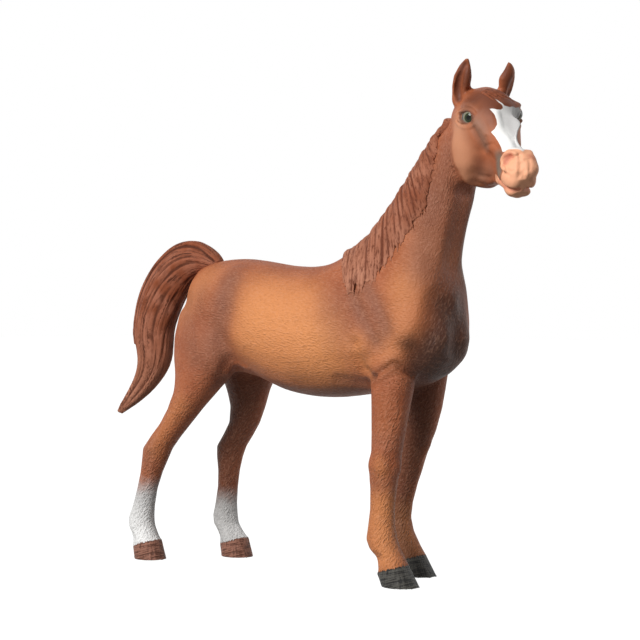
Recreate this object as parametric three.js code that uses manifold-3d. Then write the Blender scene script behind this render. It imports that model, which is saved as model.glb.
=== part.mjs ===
// Toy horse figure, moulded in nine pieces of PVC that plug together and are glued.
// Millimetres, +X towards the nose, +Y towards the horse's left, +Z up, soles on Z = 0.
import * as THREE from "three";
import { mergeVertices } from "three/addons/utils/BufferGeometryUtils.js";
import Module from "manifold-3d";

const wasm = await Module();
wasm.setup();

// Driving sizes of the whole figure
const withersHeight = 73;
const trunkLength = 78;
const barrelWidth = 27;
const headLength = 31;
const headWidth = 13.4;
const tailLength = 60;
const earLength = 8.8;

// Sizes that every moulding shares
const wall = 2.6;
const seamGap = 0.3;
const overrun = 1;

// Directions and counts
const rightSide = -1;
const leftSide = 1;
const fullTurn = 2 * Math.PI;
const quarterTurn = Math.PI / 2;

// Solids and meshes

function solidOf(geometry) {
  const bare = geometry.clone();
  bare.deleteAttribute("normal");
  bare.deleteAttribute("uv");
  const merged = mergeVertices(bare);
  const solid = new wasm.Manifold(
    new wasm.Mesh({
      numProp: 3,
      vertProperties: new Float32Array(merged.attributes.position.array),
      triVerts: new Uint32Array(merged.index.array),
    }),
  );
  return solid;
}

function pieceOf(name, solid, material) {
  const mesh = solid.getMesh();
  const geometry = new THREE.BufferGeometry();
  geometry.setAttribute("position", new THREE.BufferAttribute(mesh.vertProperties, 3));
  geometry.setIndex(new THREE.BufferAttribute(mesh.triVerts, 1));
  geometry.computeVertexNormals();
  const piece = new THREE.Mesh(geometry, material);
  piece.name = name;
  return piece;
}

function joined(solids) {
  return solids.reduce((sum, solid) => sum.add(solid));
}

// Drops the slivers that a cut leaves beside the piece.
function largestOf(solid) {
  return solid.decompose().sort((a, b) => b.volume() - a.volume())[0];
}

// Skins: a closed skin is drawn through oval stations. A station runs from one point of the side
// outline to the opposite one, and bulges sideways from a line between them.

function station(nearX, nearZ, farX, farZ, half, widest = 0.5, nearPower = 1, farPower = 1, sideways = 0) {
  return { nearX, nearZ, farX, farZ, half, widest, nearPower, farPower, sideways };
}

function easedStations(stations, steps) {
  const eased = [];
  const keys = Object.keys(stations[0]);
  const last = stations.length - 1;
  for (let span = 0; span < last; span++) {
    const around = [span - 1, span, span + 1, span + 2].map((i) => stations[Math.min(Math.max(i, 0), last)]);
    for (let step = 0; step < steps; step++) {
      const blend = step / steps;
      const between = keys.map((key) => [key, catmullRom(blend, ...around.map((s) => s[key]))]);
      eased.push(Object.fromEntries(between));
    }
  }
  eased.push(stations[last]);
  return eased;
}

function catmullRom(t, before, from, to, after) {
  const leave = (to - before) / 2;
  const arrive = (after - from) / 2;
  const cubic = 2 * from - 2 * to + leave + arrive;
  const square = -3 * from + 3 * to - 2 * leave - arrive;
  return ((cubic * t + square) * t + leave) * t + from;
}

function ringOf(s, sides, grow, flute) {
  const along = new THREE.Vector2(s.nearX - s.farX, s.nearZ - s.farZ);
  const length = along.length();
  along.normalize();
  const middleX = s.nearX + (s.farX - s.nearX) * s.widest;
  const middleZ = s.nearZ + (s.farZ - s.nearZ) * s.widest;
  const ring = [];
  for (let i = 0; i < sides; i++) {
    const angle = (fullTurn * i) / sides;
    const lengthways = Math.cos(angle);
    const towardsNear = lengthways > 0;
    const reach = (towardsNear ? s.widest * length : (1 - s.widest) * length) + grow;
    const across = Math.sin(angle);
    const power = towardsNear ? s.nearPower : s.farPower;
    const swell = flute(angle);
    const side = Math.sign(across) * Math.pow(Math.abs(across), power) * (s.half + grow) * swell;
    const out = reach * lengthways * swell;
    ring.push(new THREE.Vector3(middleX + along.x * out, s.sideways + side, middleZ + along.y * out));
  }
  return ring;
}

// Closes a row of rings into one skin with a flat or domed end at each ring.
function skinThrough(rings) {
  const sides = rings[0].length;
  const points = rings.flat();
  const firstPole = points.length;
  const lastPole = firstPole + 1;
  for (const ring of [rings[0], rings[rings.length - 1]]) {
    const middle = ring.reduce((sum, point) => sum.add(point), new THREE.Vector3()).divideScalar(sides);
    points.push(middle);
  }
  const faces = [];
  for (let r = 0; r < rings.length - 1; r++) {
    for (let i = 0; i < sides; i++) {
      const a = r * sides + i;
      const b = r * sides + ((i + 1) % sides);
      faces.push(a, b, a + sides, b, b + sides, a + sides);
    }
  }
  const lastRing = (rings.length - 1) * sides;
  for (let i = 0; i < sides; i++) {
    const next = (i + 1) % sides;
    faces.push(firstPole, next, i);
    faces.push(lastPole, lastRing + i, lastRing + next);
  }
  const geometry = new THREE.BufferGeometry().setFromPoints(points);
  geometry.setIndex(faces);
  return geometry;
}

function turnedOut(geometry) {
  if (solidOf(geometry).volume() >= 0) return geometry;
  const faces = Array.from(geometry.index.array);
  for (let i = 0; i < faces.length; i += 3) [faces[i + 1], faces[i + 2]] = [faces[i + 2], faces[i + 1]];
  geometry.setIndex(faces);
  return geometry;
}

const noFlute = () => 1;

function skin(stations, { sides = 24, steps = 2, grow = 0, flute = () => noFlute } = {}) {
  const eased = easedStations(stations, steps);
  const rings = eased.map((s, row) => ringOf(s, sides, grow, flute(row / (eased.length - 1))));
  return turnedOut(skinThrough(rings));
}

// Pushes the skin out (or in, with a negative height) in a soft round swelling.
function swelled(geometry, swellings) {
  geometry.computeVertexNormals();
  const position = geometry.attributes.position;
  const normal = geometry.attributes.normal;
  const point = new THREE.Vector3();
  const outward = new THREE.Vector3();
  for (let i = 0; i < position.count; i++) {
    point.fromBufferAttribute(position, i);
    outward.fromBufferAttribute(normal, i);
    let height = 0;
    for (const swelling of swellings) {
      const share = point.distanceTo(swelling.centre) / swelling.radius;
      if (share < 1) height += swelling.height * (1 - share * share) ** 2;
    }
    point.addScaledVector(outward, height);
    position.setXYZ(i, point.x, point.y, point.z);
  }
  return geometry;
}

function box(low, high) {
  const size = high.clone().sub(low);
  const geometry = new THREE.BoxGeometry(size.x, size.y, size.z);
  geometry.translate(...low.clone().add(high).divideScalar(2));
  return solidOf(geometry);
}

const reach = 2 * (trunkLength + withersHeight);

// Trunk and neck: one skin from the dock to the throat.
// Columns: top x, top height, bottom x, bottom height, half width, widest, top power, bottom power.
const trunkShares = [
  [-0.391, 0.911, -0.397, 0.822, 0.093, 0.5, 1, 1],
  [-0.372, 0.956, -0.4, 0.747, 0.204, 0.45, 1, 1],
  [-0.333, 0.982, -0.359, 0.678, 0.315, 0.45, 1, 1],
  [-0.269, 0.993, -0.288, 0.637, 0.4, 0.42, 1, 1],
  [-0.192, 0.996, -0.199, 0.621, 0.444, 0.44, 1, 1],
  [-0.103, 0.985, -0.103, 0.6, 0.47, 0.5, 1, 0.95],
  [-0.013, 0.97, -0.013, 0.567, 0.496, 0.52, 1, 0.92],
  [0.077, 0.966, 0.083, 0.551, 0.504, 0.54, 1, 0.9],
  [0.147, 0.978, 0.179, 0.552, 0.481, 0.55, 1.1, 0.9],
  [0.195, 1.005, 0.288, 0.566, 0.444, 0.56, 1.3, 0.95],
  [0.245, 1.03, 0.404, 0.58, 0.415, 0.58, 1.4, 1],
  [0.284, 1.064, 0.522, 0.626, 0.39, 0.6, 1.45, 1],
  [0.322, 1.103, 0.577, 0.728, 0.348, 0.6, 1.4, 1],
  [0.362, 1.147, 0.576, 0.849, 0.3, 0.56, 1.3, 1],
  [0.4, 1.198, 0.56, 0.94, 0.259, 0.52, 1.2, 1],
  [0.441, 1.253, 0.58, 1.055, 0.226, 0.5, 1.15, 1],
  [0.485, 1.309, 0.607, 1.144, 0.204, 0.5, 1.1, 1],
  [0.529, 1.358, 0.634, 1.226, 0.196, 0.5, 1, 1],
  [0.575, 1.396, 0.655, 1.295, 0.185, 0.5, 1, 1],
  [0.615, 1.41, 0.675, 1.336, 0.133, 0.5, 1, 1],
];
const cavityFirst = 2;
const cavityLast = 16;
const trunkSides = 20;
const cavitySides = 14;

function trunkStations() {
  return trunkShares.map(([nearX, nearZ, farX, farZ, half, widest, nearPower, farPower]) =>
    station(
      nearX * trunkLength,
      nearZ * withersHeight,
      farX * trunkLength,
      farZ * withersHeight,
      half * barrelWidth,
      widest,
      nearPower,
      farPower,
    ),
  );
}

// Muscles of the trunk, on both sides. Columns: x, sideways, height, radius, lift.
const muscleShares = [
  [0.487, 0.333, 0.753, 0.096, 0.016],
  [0.333, 0.407, 0.712, 0.11, 0.016],
  [0.308, 0.333, 0.904, 0.123, 0.011],
  [0.551, 0.167, 0.712, 0.082, 0.016],
  [0.231, 0.444, 0.644, 0.082, -0.007],
  [-0.179, 0.37, 0.904, 0.11, 0.007],
  [-0.115, 0.463, 0.822, 0.082, -0.011],
  [0.5, 0.222, 1.027, 0.068, -0.007],
];

function muscles() {
  return muscleShares.flatMap(([x, sideways, height, radius, lift]) =>
    [rightSide, leftSide].map((side) => ({
      centre: new THREE.Vector3(x * trunkLength, side * sideways * barrelWidth, height * withersHeight),
      radius: radius * withersHeight,
      height: lift * withersHeight,
    })),
  );
}

function trunkSkin(grow) {
  return swelled(skin(trunkStations(), { sides: trunkSides, grow }), muscles());
}

// Legs: a skin through level stations from inside the trunk to the pastern, and a hoof below it.
// Columns: height, depth, half width, sideways.
const foreLegShares = [
  [0.822, 0.15, 0.026, 0.086],
  [0.74, 0.184, 0.044, 0.097],
  [0.658, 0.174, 0.057, 0.101],
  [0.589, 0.136, 0.059, 0.104],
  [0.521, 0.121, 0.053, 0.107],
  [0.452, 0.106, 0.047, 0.11],
  [0.397, 0.097, 0.045, 0.111],
  [0.356, 0.096, 0.045, 0.112],
  [0.322, 0.092, 0.042, 0.112],
  [0.288, 0.083, 0.038, 0.112],
  [0.226, 0.077, 0.036, 0.112],
  [0.178, 0.084, 0.039, 0.112],
  [0.137, 0.098, 0.045, 0.112],
  [0.11, 0.098, 0.045, 0.112],
  [0.086, 0.087, 0.042, 0.112],
  [0.066, 0.093, 0.045, 0.112],
  [0.053, 0.096, 0.047, 0.112],
];
const foreRightLineShares = [
  0.425, 0.432, 0.438, 0.44, 0.435, 0.429, 0.424, 0.419, 0.415, 0.413, 0.409, 0.406, 0.407, 0.419, 0.44,
  0.449, 0.45,
];
const foreLeftLineShares = [
  0.384, 0.404, 0.418, 0.417, 0.409, 0.393, 0.371, 0.355, 0.346, 0.337, 0.321, 0.31, 0.312, 0.327, 0.347,
  0.358, 0.36,
];
const hindLegShares = [
  [0.904, 0.18, 0.036, 0.076],
  [0.822, 0.264, 0.062, 0.086],
  [0.74, 0.295, 0.076, 0.09],
  [0.671, 0.278, 0.081, 0.092],
  [0.616, 0.216, 0.074, 0.095],
  [0.562, 0.159, 0.064, 0.099],
  [0.507, 0.128, 0.053, 0.104],
  [0.452, 0.112, 0.046, 0.108],
  [0.411, 0.111, 0.044, 0.111],
  [0.37, 0.109, 0.044, 0.112],
  [0.336, 0.096, 0.04, 0.112],
  [0.288, 0.076, 0.036, 0.112],
  [0.233, 0.069, 0.034, 0.112],
  [0.178, 0.075, 0.036, 0.112],
  [0.137, 0.086, 0.041, 0.112],
  [0.11, 0.086, 0.042, 0.112],
  [0.086, 0.085, 0.042, 0.112],
  [0.066, 0.092, 0.045, 0.112],
  [0.052, 0.097, 0.047, 0.112],
];
const hindRightLineShares = [
  -0.26, -0.288, -0.29, -0.297, -0.318, -0.349, -0.389, -0.432, -0.47, -0.505, -0.517, -0.534, -0.553, -0.568,
  -0.578, -0.575, -0.563, -0.555, -0.553,
];
const hindLeftLineShares = [
  -0.26, -0.288, -0.288, -0.283, -0.284, -0.291, -0.297, -0.315, -0.344, -0.375, -0.383, -0.387, -0.392,
  -0.399, -0.403, -0.399, -0.382, -0.367, -0.364,
];
// Hooves, measured from the last point of the leg's line. Columns: front x, front height, back x,
// back height, half width.
const foreHoofShares = [
  [0.045, 0.067, -0.052, 0.037, 0.046],
  [0.085, 0, -0.033, 0, 0.052],
];
const hindHoofShares = [
  [0.049, 0.067, -0.05, 0.041, 0.046],
  [0.069, 0, -0.042, 0, 0.05],
];
const hoofSides = 18;
const legSides = 16;

function legSkin(leg) {
  const place = (share) => share * withersHeight;
  const stations = leg.shares.map(([height, depth, half, sideways], row) => {
    const line = place(leg.lineShares[row]);
    const reachOut = place(depth) / 2;
    const level = place(height);
    const middle = leg.side * place(sideways);
    return station(line + reachOut, level, line - reachOut, level, place(half), 0.5, 1, 1, middle);
  });
  const foot = stations[stations.length - 1];
  const footX = (foot.nearX + foot.farX) / 2;
  const hoof = leg.hoofShares.map(([frontX, frontZ, backX, backZ, half]) =>
    station(
      footX + place(frontX),
      place(frontZ),
      footX + place(backX),
      place(backZ),
      place(half),
      0.5,
      0.85,
      0.9,
      foot.sideways,
    ),
  );
  const shank = solidOf(skin(stations, { sides: legSides, steps: 1 }));
  return shank.add(solidOf(skin(hoof, { sides: hoofSides, steps: 1 })));
}

// The four legs. The seam is where the leg plugs in: x, height, and the slope of its joint face.
const legs = {
  foreleg_right: {
    side: rightSide,
    shares: foreLegShares,
    hoofShares: foreHoofShares,
    lineShares: foreRightLineShares,
    seamShares: [0.442, 0.6],
    seamSlope: 0.25,
  },
  foreleg_left: {
    side: leftSide,
    shares: foreLegShares,
    hoofShares: foreHoofShares,
    lineShares: foreLeftLineShares,
    seamShares: [0.419, 0.6],
    seamSlope: 0.25,
  },
  hindleg_right: {
    side: rightSide,
    shares: hindLegShares,
    hoofShares: hindHoofShares,
    lineShares: hindRightLineShares,
    seamShares: [-0.345, 0.572],
    seamSlope: 0.35,
  },
  hindleg_left: {
    side: leftSide,
    shares: hindLegShares,
    hoofShares: hindHoofShares,
    lineShares: hindLeftLineShares,
    seamShares: [-0.285, 0.572],
    seamSlope: 0.35,
  },
};
const tenonDepth = 5;
const tenonRadius = 2.2;
const tenonTaper = 0.85;
const tenonStretch = 1.25;

function seamOf(leg) {
  const [x, height] = leg.seamShares.map((share) => share * withersHeight);
  const rowAtSeam = leg.shares.findIndex(([level]) => level * withersHeight < height);
  const sideways = leg.side * leg.shares[rowAtSeam][3] * withersHeight;
  return new THREE.Matrix4()
    .makeTranslation(x, sideways, height)
    .multiply(new THREE.Matrix4().makeRotationY(-leg.seamSlope));
}

// Everything below the joint face of a leg, moved up by the lift.
function belowSeam(leg, lift) {
  const slab = new THREE.BoxGeometry(reach, reach, reach);
  slab.translate(0, 0, -reach / 2 + lift);
  slab.applyMatrix4(seamOf(leg));
  return solidOf(slab);
}

function tenon(leg, clearance) {
  const foot = seamGap + overrun;
  const top = tenonDepth + clearance;
  const post = new THREE.CylinderGeometry(
    tenonRadius * tenonTaper + clearance,
    tenonRadius + clearance,
    top + foot,
    legSides,
  );
  post.rotateX(quarterTurn);
  post.scale(tenonStretch, 1, 1);
  post.translate(0, 0, (top - foot) / 2);
  post.applyMatrix4(seamOf(leg));
  return solidOf(post);
}

// Head: a skin in its own frame, whose x runs from the poll to the lips and whose z points out of the
// forehead. Columns: top x, top z, jaw x, jaw z, half width, widest, top power, jaw power.
const headShares = [
  [-0.103, -0.11, -0.12, -0.31, 0.25, 0.5, 1, 0.9],
  [-0.048, -0.026, -0.075, -0.46, 0.395, 0.55, 1, 0.75],
  [0.039, 0.032, 0.015, -0.568, 0.46, 0.55, 1, 0.7],
  [0.145, 0.071, 0.152, -0.608, 0.482, 0.45, 0.9, 0.75],
  [0.265, 0.087, 0.303, -0.602, 0.485, 0.36, 0.9, 0.85],
  [0.371, 0.065, 0.426, -0.558, 0.44, 0.35, 0.9, 1],
  [0.471, 0.013, 0.523, -0.497, 0.34, 0.38, 0.9, 1],
  [0.568, -0.035, 0.606, -0.442, 0.25, 0.42, 0.95, 1],
  [0.671, -0.061, 0.69, -0.41, 0.218, 0.46, 1, 0.95],
  [0.774, -0.061, 0.777, -0.395, 0.217, 0.45, 0.9, 0.95],
  [0.871, -0.071, 0.865, -0.4, 0.243, 0.42, 0.9, 0.9],
  [0.945, -0.113, 0.926, -0.376, 0.215, 0.45, 0.9, 0.9],
  [0.99, -0.181, 0.97, -0.3, 0.13, 0.5, 1, 1],
];
const pollShares = [0.655, -0.037, 1.475];
const headPitch = THREE.MathUtils.degToRad(31);
const headYaw = THREE.MathUtils.degToRad(-36);
const headRoll = THREE.MathUtils.degToRad(2.5);
const headSides = 20;
const nostrilSides = 10;
const nostrilTurn = THREE.MathUtils.degToRad(25);

function headFrame() {
  const [x, sideways, height] = pollShares;
  const poll = new THREE.Matrix4().makeTranslation(
    x * trunkLength,
    sideways * barrelWidth,
    height * withersHeight,
  );
  const turn = new THREE.Matrix4().makeRotationZ(headYaw);
  const nod = new THREE.Matrix4().makeRotationY(headPitch);
  const tilt = new THREE.Matrix4().makeRotationX(headRoll);
  return poll.multiply(turn).multiply(nod).multiply(tilt);
}

function headStations() {
  return headShares.map(([nearX, nearZ, farX, farZ, half, widest, nearPower, farPower]) =>
    station(
      nearX * headLength,
      nearZ * headLength,
      farX * headLength,
      farZ * headLength,
      half * headWidth,
      widest,
      nearPower,
      farPower,
    ),
  );
}

// Features of the face, on both sides. Columns: x, sideways, z, radius, lift.
const faceShares = [
  [0.262, 0.47, -0.1, 0.06, 0.022],
  [0.262, 0.44, -0.04, 0.09, 0.026],
  [0.2, 0.42, -0.42, 0.2, 0.01],
  [0.5, 0.33, -0.24, 0.14, -0.015],
  [0.875, 0.24, -0.13, 0.08, 0.03],
];

function faceSwellings() {
  return faceShares.flatMap(([x, sideways, z, radius, lift]) =>
    [rightSide, leftSide].map((side) => ({
      centre: new THREE.Vector3(x * headLength, side * sideways * headWidth, z * headLength),
      radius: radius * headLength,
      height: lift * headLength,
    })),
  );
}

function headSkin(grow) {
  return swelled(skin(headStations(), { sides: headSides, grow }), faceSwellings());
}

// Nostrils and mouth, cut into the head. The mouth is a groove round the muzzle that drops towards its
// corners. Shares of a nostril: x, sideways, z, and its half length, width and height. Shares of the mouth:
// where it starts and ends, its level and its opening.
const nostrilShares = [0.9, 0.31, -0.135, 0.055, 0.03, 0.042];
const mouthShares = [0.775, 1.05, -0.285, 0.012];
const mouthSlope = THREE.MathUtils.degToRad(7);
const grooveDepth = 0.7;

function nostril(side) {
  const [x, sideways, z, long, wide, tall] = nostrilShares;
  const pit = new THREE.SphereGeometry(headLength, nostrilSides, nostrilSides / 2);
  pit.scale(long, wide, tall);
  pit.rotateZ(-side * nostrilTurn);
  pit.translate(x * headLength, side * sideways * headWidth, z * headLength);
  return solidOf(pit.applyMatrix4(headFrame()));
}

function mouth() {
  const [from, to, level, tall] = mouthShares;
  const slit = new THREE.BoxGeometry((to - from) * headLength, 2 * headWidth, tall * headLength);
  slit.rotateY(-mouthSlope);
  slit.translate(((from + to) / 2) * headLength, 0, level * headLength);
  const outside = headSkin(overrun).translate(overrun, 0, 0).applyMatrix4(headFrame());
  const inside = headSkin(-grooveDepth).translate(-grooveDepth, 0, 0).applyMatrix4(headFrame());
  const rind = solidOf(outside).subtract(solidOf(inside));
  return solidOf(slit.applyMatrix4(headFrame())).intersect(rind);
}

// Ear: a pointed leaf with a cup cut from its front. Columns: height, half width, half depth.
const earShares = [
  [-0.15, 0.17, 0.16],
  [0.05, 0.18, 0.17],
  [0.3, 0.225, 0.18],
  [0.55, 0.225, 0.16],
  [0.8, 0.15, 0.11],
  [0.95, 0.07, 0.06],
  [1, 0.03, 0.03],
];
const earWall = 0.75;
const earSides = 14;
const earPlaceShares = [0.02, 0.335, -0.065];
const earTurn = THREE.MathUtils.degToRad(42);
const earCurlShare = 0.14;
const degrees = THREE.MathUtils.degToRad;
const ears = {
  right: { side: rightSide, lean: degrees(0), forward: degrees(17), scale: 1 },
  left: { side: leftSide, lean: degrees(9), forward: degrees(22), scale: 0.92 },
};

function earStations(side, thinner, forwards) {
  return earShares.map(([height, half, depth]) => ({
    ...station(
      depth * earLength - thinner + forwards,
      height * earLength,
      -depth * earLength + thinner + forwards,
      height * earLength,
      Math.max(half * earLength - thinner, thinner / 4),
    ),
    sideways: -side * earCurlShare * earLength * Math.max(height, 0) ** 2,
  }));
}

function ear({ side, lean, forward, scale }) {
  const shell = skin(earStations(side, 0, 0), { sides: earSides, steps: 1 });
  const cup = skin(earStations(side, earWall, 2 * earWall).slice(1, -1), { sides: earSides, steps: 1 });
  const [x, sideways, z] = earPlaceShares;
  const place = new THREE.Matrix4().makeTranslation(
    x * headLength,
    side * sideways * headWidth,
    z * headLength,
  );
  const upright = new THREE.Matrix4().makeRotationY(forward - headPitch);
  const outwards = new THREE.Matrix4().makeRotationX(-side * lean);
  const turn = new THREE.Matrix4().makeRotationZ(side * earTurn);
  const size = new THREE.Matrix4().makeScale(scale, scale, scale);
  const pose = headFrame().multiply(place).multiply(upright).multiply(outwards).multiply(turn).multiply(size);
  return solidOf(shell.applyMatrix4(pose)).subtract(solidOf(cup.applyMatrix4(pose)));
}

// The head plugs into the neck with a round post along the neck.
const neckPostRadius = 2.4;
const neckPostDepth = 7;
const neckPostShares = [0.585, 1.32];
const neckPostSlope = THREE.MathUtils.degToRad(34);

function neckPost(clearance) {
  const post = new THREE.CylinderGeometry(
    neckPostRadius + clearance,
    neckPostRadius + clearance,
    2 * (neckPostDepth + clearance),
    legSides,
  );
  post.rotateX(quarterTurn);
  post.rotateY(neckPostSlope);
  post.translate(neckPostShares[0] * trunkLength, 0, neckPostShares[1] * withersHeight);
  return solidOf(post);
}

function headSolid() {
  const face = solidOf(headSkin(0).applyMatrix4(headFrame()));
  const cuts = joined([nostril(rightSide), nostril(leftSide), mouth()]);
  return joined([face.subtract(cuts), ear(ears.right), ear(ears.left)]);
}

// Tail: a fluted skin that springs from the dock. Columns: outer x, outer z, inner x, inner z, half width,
// all measured from the dock in shares of the tail.
const tailShares = [
  [0.004, -0.006, -0.03, -0.075, 0.034],
  [-0.05, 0.06, -0.08, -0.056, 0.049],
  [-0.12, 0.086, -0.125, -0.07, 0.058],
  [-0.197, 0.08, -0.184, -0.121, 0.065],
  [-0.274, 0.046, -0.231, -0.181, 0.069],
  [-0.337, -0.017, -0.266, -0.23, 0.071],
  [-0.385, -0.089, -0.283, -0.271, 0.071],
  [-0.417, -0.167, -0.29, -0.316, 0.071],
  [-0.438, -0.256, -0.288, -0.359, 0.066],
  [-0.44, -0.33, -0.293, -0.408, 0.06],
  [-0.418, -0.41, -0.314, -0.463, 0.053],
  [-0.447, -0.49, -0.36, -0.514, 0.045],
  [-0.505, -0.548, -0.421, -0.557, 0.034],
  [-0.545, -0.583, -0.482, -0.591, 0.024],
  [-0.57, -0.605, -0.54, -0.613, 0.011],
];
const dockShares = [-0.314, 0.979];
const tailSides = 24;
const tailLocks = 7;
const tailFluteShare = 0.07;
const tailTwist = 2.2;
const tailPegRadius = 1.9;
const tailPegDepth = 5;
const tailPegSlope = THREE.MathUtils.degToRad(35);

function tailStations() {
  const x = dockShares[0] * trunkLength;
  const z = dockShares[1] * withersHeight;
  return tailShares.map(([nearX, nearZ, farX, farZ, half]) =>
    station(
      x + nearX * tailLength,
      z + nearZ * tailLength,
      x + farX * tailLength,
      z + farZ * tailLength,
      half * tailLength,
    ),
  );
}

function tailFlute(share) {
  const depth = tailFluteShare * Math.sin(Math.PI * Math.min(1, share + 0.1));
  return (angle) => 1 + depth * Math.cos(tailLocks * angle + tailTwist * share);
}

function tailPeg(clearance) {
  const peg = new THREE.CylinderGeometry(
    tailPegRadius + clearance,
    tailPegRadius + clearance,
    2 * tailPegDepth + clearance,
    legSides,
  );
  peg.rotateZ(quarterTurn - tailPegSlope);
  const [root] = tailStations();
  peg.translate((root.nearX + root.farX) / 2, 0, (root.nearZ + root.farZ) / 2);
  return solidOf(peg);
}

// Mane: a roll along the crest with tapering locks that hang down the right side of the neck.
// Columns: x and height of the root on the crest, x and height of the tip.
const maneShares = [
  [0.579, 1.425, 0.566, 1.341],
  [0.558, 1.413, 0.556, 1.28],
  [0.533, 1.391, 0.551, 1.213],
  [0.509, 1.364, 0.547, 1.157],
  [0.486, 1.338, 0.537, 1.111],
  [0.47, 1.309, 0.521, 1.065],
  [0.453, 1.278, 0.497, 1.023],
  [0.434, 1.252, 0.47, 0.987],
  [0.416, 1.227, 0.441, 0.958],
  [0.398, 1.202, 0.41, 0.93],
  [0.378, 1.177, 0.378, 0.907],
  [0.356, 1.153, 0.345, 0.887],
  [0.333, 1.127, 0.312, 0.868],
  [0.313, 1.102, 0.281, 0.85],
  [0.291, 1.079, 0.253, 0.842],
  [0.268, 1.043, 0.226, 0.848],
  [0.25, 1.012, 0.21, 0.865],
  [0.233, 0.99, 0.2, 0.888],
];
const maneRollRadius = 1.5;
const lockHalfWidth = 2.7;
const lockHalfThickness = 1.35;
const lockSink = 0.25;
const lockSides = 6;
const lockSteps = 5;
const crestLift = 0.2;

function surfaceFinder(geometry) {
  const caster = new THREE.Raycaster();
  const target = new THREE.Mesh(geometry, new THREE.MeshBasicMaterial({ side: THREE.DoubleSide }));
  target.updateMatrixWorld(true);
  return (x, z) => {
    caster.set(new THREE.Vector3(x, rightSide * reach, z), new THREE.Vector3(0, leftSide, 0));
    const [hit] = caster.intersectObject(target);
    return hit ? hit.point.y : 0;
  };
}

// A tapering lock of hair along a line of points, flattened against what it lies on.
function lock(points, outwards, halfWidth, halfThickness) {
  const curve = new THREE.CatmullRomCurve3(points);
  const rings = [];
  for (let step = 0; step <= lockSteps; step++) {
    const share = step / lockSteps;
    const middle = curve.getPoint(share);
    const along = curve.getTangent(share);
    const across = new THREE.Vector3().crossVectors(along, outwards).normalize();
    const proud = new THREE.Vector3().crossVectors(across, along).normalize();
    const taper = Math.pow(Math.max(1 - share, 0.02), 0.6);
    const ring = [];
    for (let i = 0; i < lockSides; i++) {
      const angle = (fullTurn * i) / lockSides;
      ring.push(
        middle
          .clone()
          .addScaledVector(across, Math.cos(angle) * halfWidth * taper)
          .addScaledVector(proud, Math.sin(angle) * halfThickness * taper),
      );
    }
    rings.push(ring);
  }
  return solidOf(turnedOut(skinThrough(rings)));
}

function maneSolid(trunk) {
  const sideOf = surfaceFinder(trunk);
  const roots = maneShares.map(
    ([x, height]) => new THREE.Vector3(x * trunkLength, 0, height * withersHeight),
  );
  const outwards = new THREE.Vector3(0, rightSide, 0);
  const locks = maneShares.map(([, , tipX, tipHeight], row) => {
    const root = roots[row].clone().add(new THREE.Vector3(0, 0, crestLift));
    const tip = new THREE.Vector3(tipX * trunkLength, 0, tipHeight * withersHeight);
    const points = [root];
    for (const share of [0.2, 0.4, 0.6, 0.8, 1]) {
      const point = roots[row].clone().lerp(tip, share);
      point.y = sideOf(point.x, point.z) + rightSide * (lockHalfThickness * (1 - share) - lockSink);
      points.push(point);
    }
    return lock(points, outwards, lockHalfWidth, lockHalfThickness);
  });
  return joined([crestRoll(roots), ...locks]);
}

function crestRoll(roots) {
  const curve = new THREE.CatmullRomCurve3(roots);
  const section = new THREE.Shape().absarc(0, 0, maneRollRadius, 0, fullTurn);
  const geometry = new THREE.ExtrudeGeometry(section, {
    extrudePath: curve,
    steps: roots.length,
    curveSegments: lockSides / 2,
    bevelEnabled: false,
  });
  return solidOf(geometry);
}

// Glue pins across the middle seam of the two body shells: x and height of each.
const pinShares = [
  [-0.22, 0.86],
  [0.03, 0.88],
  [0.36, 0.72],
  [0.47, 1.08],
];
const pinRadius = 1.3;
const pinReach = 3;
const bossWall = 1.3;
const pinSides = 10;

function pinRod(shares, radius, from, to) {
  const rod = new THREE.CylinderGeometry(radius, radius, to - from, pinSides);
  rod.translate(shares[0] * trunkLength, (from + to) / 2, 0);
  rod.translate(0, 0, shares[1] * withersHeight);
  return solidOf(rod);
}

function bodyShell(side, parts) {
  const { trunk, cavity, legSkins, cutters } = parts;
  const ownLegs = Object.keys(legs).filter((name) => legs[name].side === side);
  const uppers = ownLegs.map((name) => legSkins[name].subtract(belowSeam(legs[name], seamGap)));
  const bosses = pinShares.map((shares) =>
    pinRod(shares, pinRadius + bossWall, -barrelWidth, barrelWidth).intersect(trunk),
  );
  const half = box(
    new THREE.Vector3(-reach, side < 0 ? -reach : seamGap / 2, -reach),
    new THREE.Vector3(reach, side < 0 ? -seamGap / 2 : reach, reach),
  );
  const outer = joined([trunk, ...uppers]);
  const seats = ownLegs.map((name) => tenon(legs[name], bossWall).intersect(outer));
  let shell = outer.subtract(cavity);
  shell = joined([shell, ...bosses, ...seats]).intersect(half);
  for (const cutter of cutters) shell = shell.subtract(cutter);
  for (const name of ownLegs) shell = shell.subtract(tenon(legs[name], seamGap));
  for (const shares of pinShares) {
    shell =
      side === leftSide
        ? shell.add(pinRod(shares, pinRadius, -pinReach, pinReach))
        : shell.subtract(pinRod(shares, pinRadius + seamGap, -pinReach - seamGap, overrun));
  }
  return shell;
}

function legSolid(name, legSkins, trunkGrown) {
  const leg = legs[name];
  return legSkins[name].intersect(belowSeam(leg, 0)).subtract(trunkGrown).add(tenon(leg, 0));
}

// Materials
const coat = new THREE.MeshStandardMaterial({ color: 0xa0613c, roughness: 0.55, metalness: 0 });
const legCoat = new THREE.MeshStandardMaterial({ color: 0xa86a40, roughness: 0.55, metalness: 0 });
const hair = new THREE.MeshStandardMaterial({ color: 0x7d4632, roughness: 0.6, metalness: 0 });

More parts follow.
